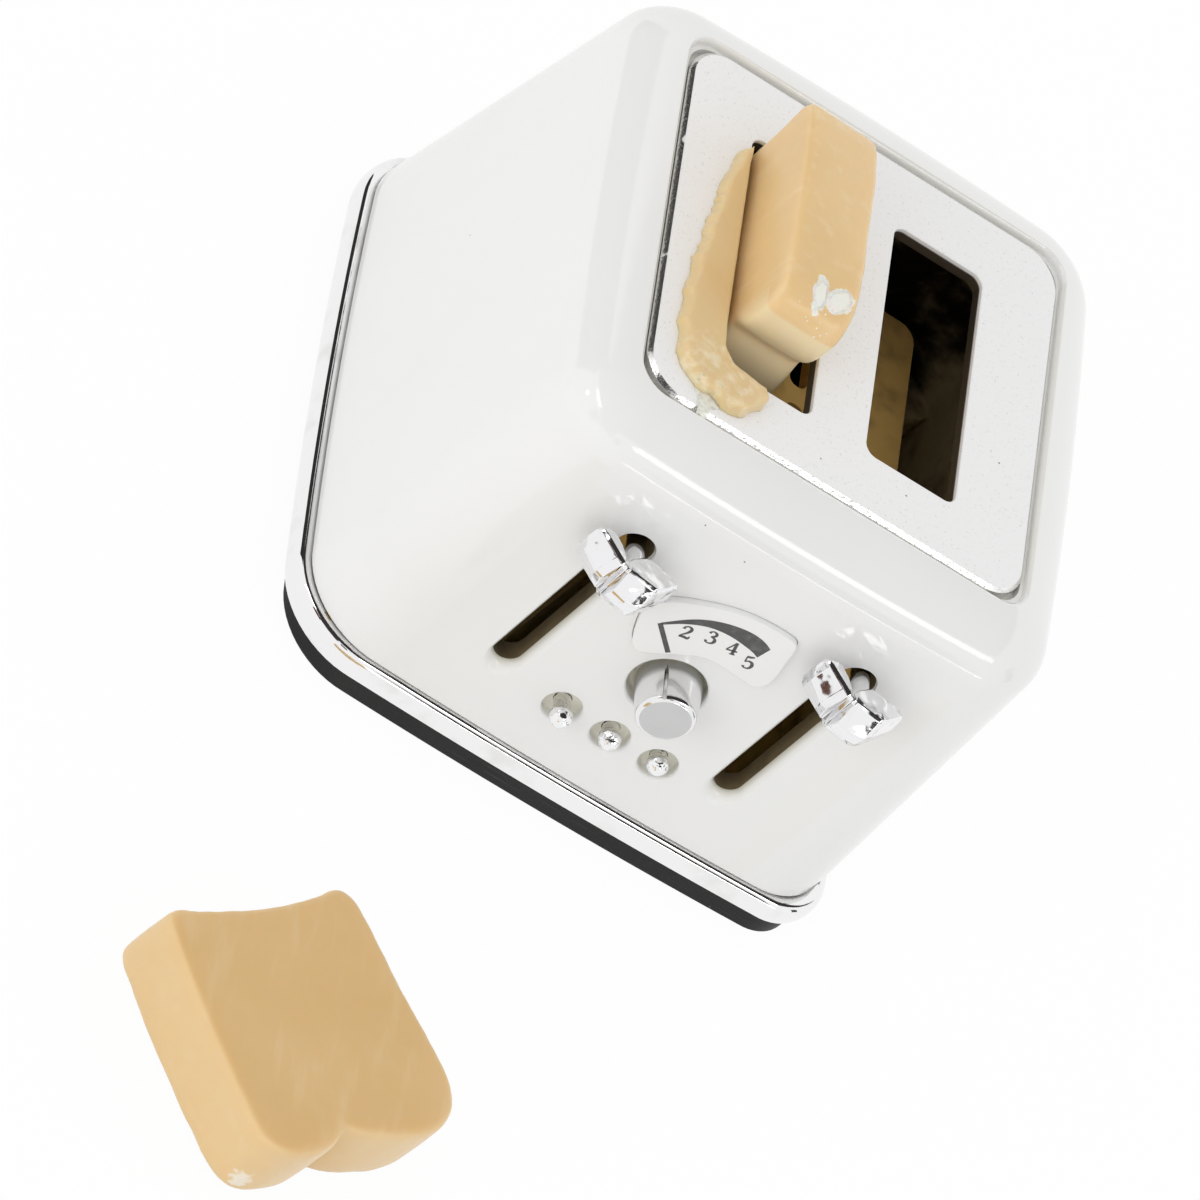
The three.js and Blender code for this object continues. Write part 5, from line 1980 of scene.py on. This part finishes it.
@dataclass
class StandingToast:
    """The slice that stands in the left slot, chipped on its top near the front."""

    face: float = 6.05
    back: float = 6.25
    bottom: float = 12.35
    shape: SliceShape = SliceShape(0.35)
    flakes: tuple[Flake, ...] = (
        Flake((-4.35, -3.6, 23.1), (-0.12, 0.86), 0.38),
        Flake((-3.42, -3.45, 23.2), (0.56, 0.5), 0.52),
    )

    def make(self) -> None:
        """Builds and dresses the slice."""
        piece = self.shape.solid("standing_slice", 3.1)
        upright = Matrix(((0, 0, 1, 0), (0, 1, 0, 0), (-1, 0, 0, 0), (0, 0, 0, 1)))
        middle = self.bottom + self.shape.height / 2
        piece.data.transform(Matrix.Translation((-self.face, self.back, middle)) @ upright)
        shaded(piece, crease=80, weighted=False)
        right, top = -self.face + self.shape.thickness, self.bottom + self.shape.height
        front = self.back - self.shape.breadth
        # Painted highlights of white specks along the front's crest.
        glints = (((right - 1.6, front + 0.5, top - 0.7), 1.6),)
        resin = ToastResin(
            "standing_resin",
            (0.84, 0.6, 0.3),
            0.34,
            grain=(1, 1, 0.15),
            streaked=0.3,
            flakes=self.flakes,
            glints=glints,
            pale_below=((front + 0.2, front + 1.6), top - 1.5),
        )
        finished(piece, [resin], Body.STANDING_TOAST, ["toast_standing"])


@dataclass
class LooseToast:
    """The slice that lies on the table."""

    x: float = -13.45
    y: float = -28.7
    turn: float = math.radians(37)
    shape: SliceShape = SliceShape(0.43)

    def make(self) -> None:
        """Builds and dresses the slice."""
        piece = self.shape.solid("loose_slice", 8.4)
        lowest = min(vertex.co.z for vertex in piece.data.vertices)
        place = Matrix.Translation((self.x, self.y, -lowest)) @ Matrix.Rotation(self.turn, 4, "Z")
        piece.data.transform(place)
        shaded(piece, crease=80, weighted=False)
        scuff = place @ Vector((-self.shape.height * 0.42, -self.shape.breadth * 0.97, 0.9))
        resin = ToastResin(
            "loose_resin",
            (0.82, 0.59, 0.3),
            0.36,
            scuffs=((tuple(scuff), 1.2),),
            # Painted shade: the top face is browner.
            top_shade_from=self.shape.thickness - 0.2,
        )
        finished(piece, [resin], Body.LOOSE_TOAST, ["toast_loose"])


@dataclass
class CrustShaving:
    """The ragged sheet of shaved resin on the top plate, with crumbs and a thin film at its near end.

    The shares in its fields are of its reach, unless a remark says otherwise.
    """

    x: float = -6.35
    y: float = -1.2
    reach: float = 8.4
    thickness: float = 0.6
    thickest: float = 1.05  # of the thickness
    outline_seed: int = 12
    raggedness: Flat = (-0.07, 0.05)
    ragged_along: float = 0.7  # of the raggedness, along Y
    ragged_step: float = 0.22
    straight_from: float = -0.1
    lumps_share: float = 0.6
    lumps_blend: float = 1.2
    lumps_least: float = 0.08
    crumb_size: float = 0.08
    crumb_density: float = 0.5
    crumbs_start: float = -5.4
    film_half: Flat = (0.55, 0.85)
    film_points: int = 40
    film_levels: Flat = (0.01, 0.05)
    film_offset: float = -0.35
    film_share: float = 0.86
    film_seed: int = 5
    film_waves: int = 3
    film_start: float = 0.7
    film_swell: float = 0.35  # of the film's half size
    film_rag: float = 0.18  # of the film's half size
    crumbly_offset: float = -0.2
    crumbly_share: float = 0.74
    crumbly_reach: float = 2.2
    outline_shares: tuple[Flat, ...] = (
        (0, 0.79), (-0.06, 0.74), (-0.09, 0.63), (-0.135, 0.5), (-0.15, 0.39), (-0.165, 0.27),
        (-0.19, 0.2), (-0.2, 0.05), (-0.235, -0.07), (-0.23, -0.17), (-0.255, -0.27),
        (-0.25, -0.38), (-0.265, -0.49), (-0.245, -0.62), (-0.24, -0.7), (-0.18, -0.77),
        (-0.11, -0.83), (-0.03, -0.845), (0.04, -0.88), (0.12, -0.86), (0.18, -0.84), (0.23, -0.78),
        (0.28, -0.74), (0.3, -0.68), (0.26, -0.63), (0.15, -0.615), (0.06, -0.6), (0.01, -0.54),
        (0, -0.4), (0, 0),
    )

    def outline(self, inset: float) -> list[Flat]:
        """The ragged outline, moved in by inset."""
        chance = random.Random(self.outline_seed)
        points: list[Flat] = []
        corners = [(x * self.reach, y * self.reach) for x, y in self.outline_shares]
        for i, (x, y) in enumerate(corners):
            nx, ny = corners[(i + 1) % len(corners)]
            steps = max(int(math.dist((x, y), (nx, ny)) / self.ragged_step), 1)
            for k in range(steps):
                t = k / steps
                ragged = 0.0 if min(x, nx) > self.straight_from else chance.uniform(*self.raggedness)
                points.append((x + (nx - x) * t + ragged, y + (ny - y) * t + ragged * self.ragged_along))
        return offset_outline(anticlockwise(points), -inset)

    def sheet(self) -> Piece:
        """The sheet itself, lumpy at its near end."""
        thick = self.thickness
        levels = ((0.0, 0.0), (0.02, 0.12), (thick / 6, thick * 0.7), (thick / 3, thick))
        piece = loft("shaved_crust", [ring_at(self.outline(inset), z) for inset, z in levels])
        remeshed(piece, grain=0.07, rounds=5)

        def near_end(point: Vector) -> float:
            """How much a point takes of the crumbly end's lumps."""
            lumps = (-self.reach * self.lumps_share - point.y) / self.lumps_blend
            return min(max(lumps, self.lumps_least), 1)

        wrinkled(piece, depth=0.16, size=1.0, seed=4.2, mask=near_end)
        wrinkled(piece, depth=0.03, size=0.35, seed=9.2, mask=near_end)
        for vertex in piece.data.vertices:
            vertex.co.z = min(max(vertex.co.z, 0.0), thick * self.thickest)
        piece.data.update()
        return piece

    def crumbs(self, sheet: Piece) -> Piece:
        """Scatters small crumbs over the near end with Geometry Nodes."""
        tree = GrowthTree("crumb_scatter")
        density = tree.size("Density", self.crumb_density)
        size = tree.size("Crumb Size", self.crumb_size)
        limit = tree.size("End Of Patch", self.crumbs_start)
        _, y, _ = tree.split(tree.node("GeometryNodeInputPosition"))
        near = tree.node("FunctionNodeCompare", {"operation": "LESS_THAN"}, {0: y, 1: limit})
        inputs = {"Mesh": tree.seed_geometry, "Selection": near, "Density": density, "Seed": 7}
        points = tree.node("GeometryNodeDistributePointsOnFaces", inputs=inputs)
        ball = tree.node("GeometryNodeMeshIcoSphere", inputs={"Radius": 1.0, "Subdivisions": 1})
        chance = "FunctionNodeRandomValue"
        random_size = tree.node(chance, {"data_type": "FLOAT"}, {2: 0.4, 3: 1.0, "Seed": 3}, 1)
        random_turn = tree.node(chance, {"data_type": "FLOAT_VECTOR"}, {1: (6.0, 6.0, 6.0), "Seed": 5})
        inputs = {"Points": points, "Instance": ball, "Scale": random_size * size, "Rotation": random_turn}
        tree.finish(tree.node("GeometryNodeInstanceOnPoints", inputs=inputs), self.resin().material())
        return tree.run("shaved_crumbs", in_scene("crumbs", sheet.data.copy()))

    def resin(self) -> ToastResin:
        """The finish of the cut resin."""
        x, y = self.x + self.crumbly_offset, self.y - self.reach * self.crumbly_share
        crumbly = ((x, y, FRAME.plate_top + self.thickness), self.crumbly_reach)
        return ToastResin("shaved_resin", (0.8, 0.6, 0.32), 0.4, pale=(0.92, 0.8, 0.58), crumbly=crumbly)

    def film(self) -> Piece:
        """A thin torn skin that sticks out of the near end."""
        chance = random.Random(self.film_seed)
        points: list[Flat] = []
        for i in range(self.film_points):
            a = 2 * math.pi * i / self.film_points
            swell = self.film_swell * math.sin(self.film_waves * a + self.film_start)
            radius = 1 + swell + chance.uniform(-self.film_rag, self.film_rag)
            x, y = self.film_half
            points.append((x * radius * math.cos(a), y * radius * math.sin(a)))
        skin = loft("shaved_film", [ring_at(points, level) for level in self.film_levels])
        x, y = self.x + self.film_offset, self.y - self.reach * self.film_share
        return moved(skin, x, y, FRAME.plate_top)

    def make(self) -> None:
        """Builds and dresses the sheet, its crumbs and its film."""
        sheet = self.sheet()
        crumbs = self.crumbs(sheet)
        for piece in (sheet, crumbs):
            moved(piece, self.x, self.y, FRAME.plate_top)
            shaded(piece, crease=80, weighted=False)
        finished(sheet, [self.resin()], Body.CRUST_SHAVING, ["toast_shaving"])
        finished(crumbs, [self.resin()], Body.CRUST_SHAVING)
        film = ResinFilm("shaved_film_skin", (0.93, 0.93, 0.84), 0.35)
        finished(self.film(), [film], Body.CRUST_SHAVING)


@dataclass
class InnerWorks:
    """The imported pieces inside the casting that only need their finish."""

    pairs: tuple[tuple[str, Finish], ...] = (
        ("carriage", CARRIAGE_BROWN_LIT),
        ("guide_rod", ROD_STEEL),
        ("stem_clip", SCREW_STEEL),
    )

    def make(self, nodes: dict[str, Piece]) -> None:
        """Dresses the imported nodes."""
        sides = [(f"{kind}_{side.name.lower()}", finish) for kind, finish in self.pairs for side in Side]
        for name, finish in (*sides, ("dial_clip", SCREW_STEEL)):
            data = nodes[name].data
            data.materials.clear()
            data.materials.append(finish.material())
            log.info("%s: packed mesh in %s", name, finish.name)


# The studio


@dataclass
class Studio:
    """A white table, lamps, cards for the room's dark parts, and the photograph's camera.

    A row of strips or soft_boxes holds what lamp takes, and a row of dark_cards what dark_card takes.
    """

    azimuth: float = math.radians(-31.03)
    elevation: float = math.radians(38.87)
    roll: float = math.radians(52.06)
    distance: float = 477.97
    aim_height: float = 10
    focal_pixels: float = 11709
    frame_pixels: float = 1200
    aim_pixels: Flat = (712.39, 437.62)
    sensor: float = 36
    clip: Flat = (0.01, 20)
    floor_half: float = 3
    sky_light: float = 0.83
    floor_glow: float = 0.96
    floor_colour: Colour = (0.93, 0.93, 0.93)
    lamp_distance: float = 0.7
    card_distance: float = 1.4
    strips: tuple[tuple[str, Place, float, float, float], ...] = (
        ("upper_strip", (0.42, -0.665, 0.618), 0.34, 0.3, 0.09),
        ("lower_strip", (0.42, -0.9, 0.06), 0.13, 0.3, 0.03),
        ("corner_spot", (-0.86, -0.05, 0.5), 0.12, 0.05, 0.05),
        ("edge_strip", (-0.68, -0.15, 0.72), 0.2, 0.25, 0.05),
    )
    soft_boxes: tuple[tuple[str, Place, float, float, float], ...] = (
        ("side_soft", (-0.75, -0.55, 0.25), 1.08, 0.4, 0.6),
        ("right_soft", (0.95, 0.25, 0.2), 0.6, 0.3, 0.5),
    )
    dark_cards: tuple[tuple[str, Place, Flat, Colour], ...] = (
        ("dark_ceiling", (0, 0, 1), (1.3, 1.3), (0.04, 0.035, 0.035)),
        ("dark_rear", (-0.55, 0.67, 0.36), (0.45, 0.5), (0.03, 0.03, 0.03)),
        ("dark_camera", (-0.40, -0.667, 0.6275), (0.2, 0.3), (0.06, 0.05, 0.05)),
        ("brown_left", (-0.7, -0.5, 0.5), (0.2, 0.18), (0.12, 0.055, 0.04)),
        ("dark_front", (0.42, -0.9, 0.15), (0.25, 0.12), (0.04, 0.035, 0.03)),
        ("brown_front", (-0.1, -0.85, 0.55), (0.14, 0.1), (0.1, 0.06, 0.05)),
        ("dark_right", (0.92, -0.3, 0.15), (0.3, 0.12), (0.08, 0.08, 0.08)),
    )

    def camera(self) -> None:
        """Sets the camera where the photograph was taken from."""
        flat = math.cos(self.elevation)
        x, y = math.sin(self.azimuth) * flat, -math.cos(self.azimuth) * flat
        back = Vector((x, y, math.sin(self.elevation)))
        level = Vector((0, 0, 1)).cross(back).normalized()
        upright = back.cross(level)
        right = math.cos(self.roll) * level + math.sin(self.roll) * upright
        up = math.cos(self.roll) * upright - math.sin(self.roll) * level
        middle = self.frame_pixels / 2
        across = (middle - self.aim_pixels[0]) / self.focal_pixels
        rise = (self.aim_pixels[1] - middle) / self.focal_pixels
        ahead = (-back + across * right + rise * up).normalized()
        side = ahead.cross(up).normalized()
        top = side.cross(ahead)
        eye = (Vector((0, 0, self.aim_height)) + self.distance * back) * MM
        data = bpy.data.cameras.new("camera")
        data.sensor_width = self.sensor
        data.lens = self.focal_pixels / self.frame_pixels * self.sensor
        data.clip_start, data.clip_end = self.clip
        camera = in_scene("camera", data)
        turn = Matrix((side, top, -ahead)).transposed().to_4x4()
        camera.matrix_world = Matrix.Translation(eye) @ turn
        bpy.context.scene.camera = camera

    def facing(self, made: Piece, towards: Place, distance: float, up: str) -> None:
        """Places a lamp or a card so that it faces the object from a direction.

        Args:
            made: the lamp or card.
            towards: the direction from the object.
            distance: how far off, in metres.
            up: its axis that is kept upright.
        """
        direction = Vector(towards).normalized()
        turn = direction.to_track_quat("Z", up).to_matrix().to_4x4()
        made.matrix_world = Matrix.Translation(direction * distance) @ turn

    def glow(self, tree: Tree, colour: Colour) -> Socket:
        """A surface that gives light of one colour."""
        return tree.node("ShaderNodeEmission", inputs={"Color": (*colour, 1), "Strength": 1.0})

    def seen_directly(self, tree: Tree) -> Socket:
        """1 for what the camera, a reflection or a see-through surface looks at."""
        rays = tree.raw.nodes.new("ShaderNodeLightPath")
        names = ("Is Camera Ray", "Is Glossy Ray", "Is Transmission Ray")
        seen = [Socket(tree, rays.outputs[name]) for name in names]
        return seen[0] | seen[1] | seen[2]

    def sky(self) -> None:
        """Makes a white surround that lights the object softly."""
        world = bpy.data.worlds.new("studio")
        tree = ShaderTree(world, "ShaderNodeOutputWorld")
        strength = self.sky_light + self.seen_directly(tree) * (1 - self.sky_light)
        inputs = {"Color": (1, 1, 1, 1), "Strength": strength}
        tree.close(tree.node("ShaderNodeBackground", inputs=inputs))
        bpy.context.scene.world = world

    def table(self) -> None:
        """Lays the white table, which keeps a faint shadow."""
        floor = card("table", self.floor_half, self.floor_half)
        material = bpy.data.materials.new("white_table")
        tree = ShaderTree(material)
        matt = tree.node("ShaderNodeBsdfDiffuse", inputs={"Color": (*self.floor_colour, 1)})
        share = self.seen_directly(tree) * self.floor_glow
        white = self.glow(tree, (1, 1, 1))
        tree.close(tree.node("ShaderNodeMixShader", inputs={0: share, 1: matt, 2: white}))
        floor.data.materials.append(material)

    def lamp(
        self, name: str, towards: Place, power: float, wide: float, tall: float, glint: bool = False
    ) -> None:
        """A soft rectangular lamp.

        Args:
            name: the lamp's name.
            towards: the direction from the object to the lamp.
            power: watts.
            wide: width in metres.
            tall: height in metres.
            glint: whether it shows in reflections only, or else lights the surfaces only.
        """
        data = bpy.data.lights.new(name, "AREA")
        data.shape = "RECTANGLE"
        data.size, data.size_y = wide, tall
        data.energy = power
        lamp = in_scene(name, data)
        self.facing(lamp, towards, self.lamp_distance, "Y")
        lamp.visible_glossy = glint
        lamp.visible_diffuse = not glint

    def dark_card(self, name: str, towards: Place, half: Flat, colour: Colour) -> None:
        """A card that only reflections see, like the unlit parts of the room.

        Args:
            name: the card's name.
            towards: the direction from the object.
            half: half of its size in metres.
            colour: what it shows.
        """
        screen = card(name, *half)
        self.facing(screen, towards, self.card_distance, "X")
        material = bpy.data.materials.new(name)
        tree = ShaderTree(material)
        tree.close(self.glow(tree, colour))
        screen.data.materials.append(material)
        screen.visible_camera = screen.visible_diffuse = False
        screen.visible_shadow = screen.visible_transmission = False

    def make(self) -> None:
        """Sets up the camera, the light and the table."""
        self.camera()
        self.sky()
        self.table()
        for row in self.strips:
            self.lamp(*row, glint=True)
        for row in self.soft_boxes:
            self.lamp(*row)
        for row in self.dark_cards:
            self.dark_card(*row)


def main() -> None:
    """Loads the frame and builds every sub-assembly."""
    logging.basicConfig(level=logging.INFO, format="%(message)s")
    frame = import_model()
    bpy.context.scene.view_settings.view_transform = "Standard"
    Studio().make()
    Housing().make()
    TopPlate().make()
    Foot().make()
    ScalePlate().make()
    Dial().make()
    PushPins().make()
    LiftLever(Side.LEFT, 0.05).make()
    LiftLever(Side.RIGHT, 0.25).make()
    StandingToast().make()
    LooseToast().make()
    CrustShaving().make()
    InnerWorks().make(frame["nodes"])
    bpy.context.view_layer.update()


if __name__ == "__main__":
    main()
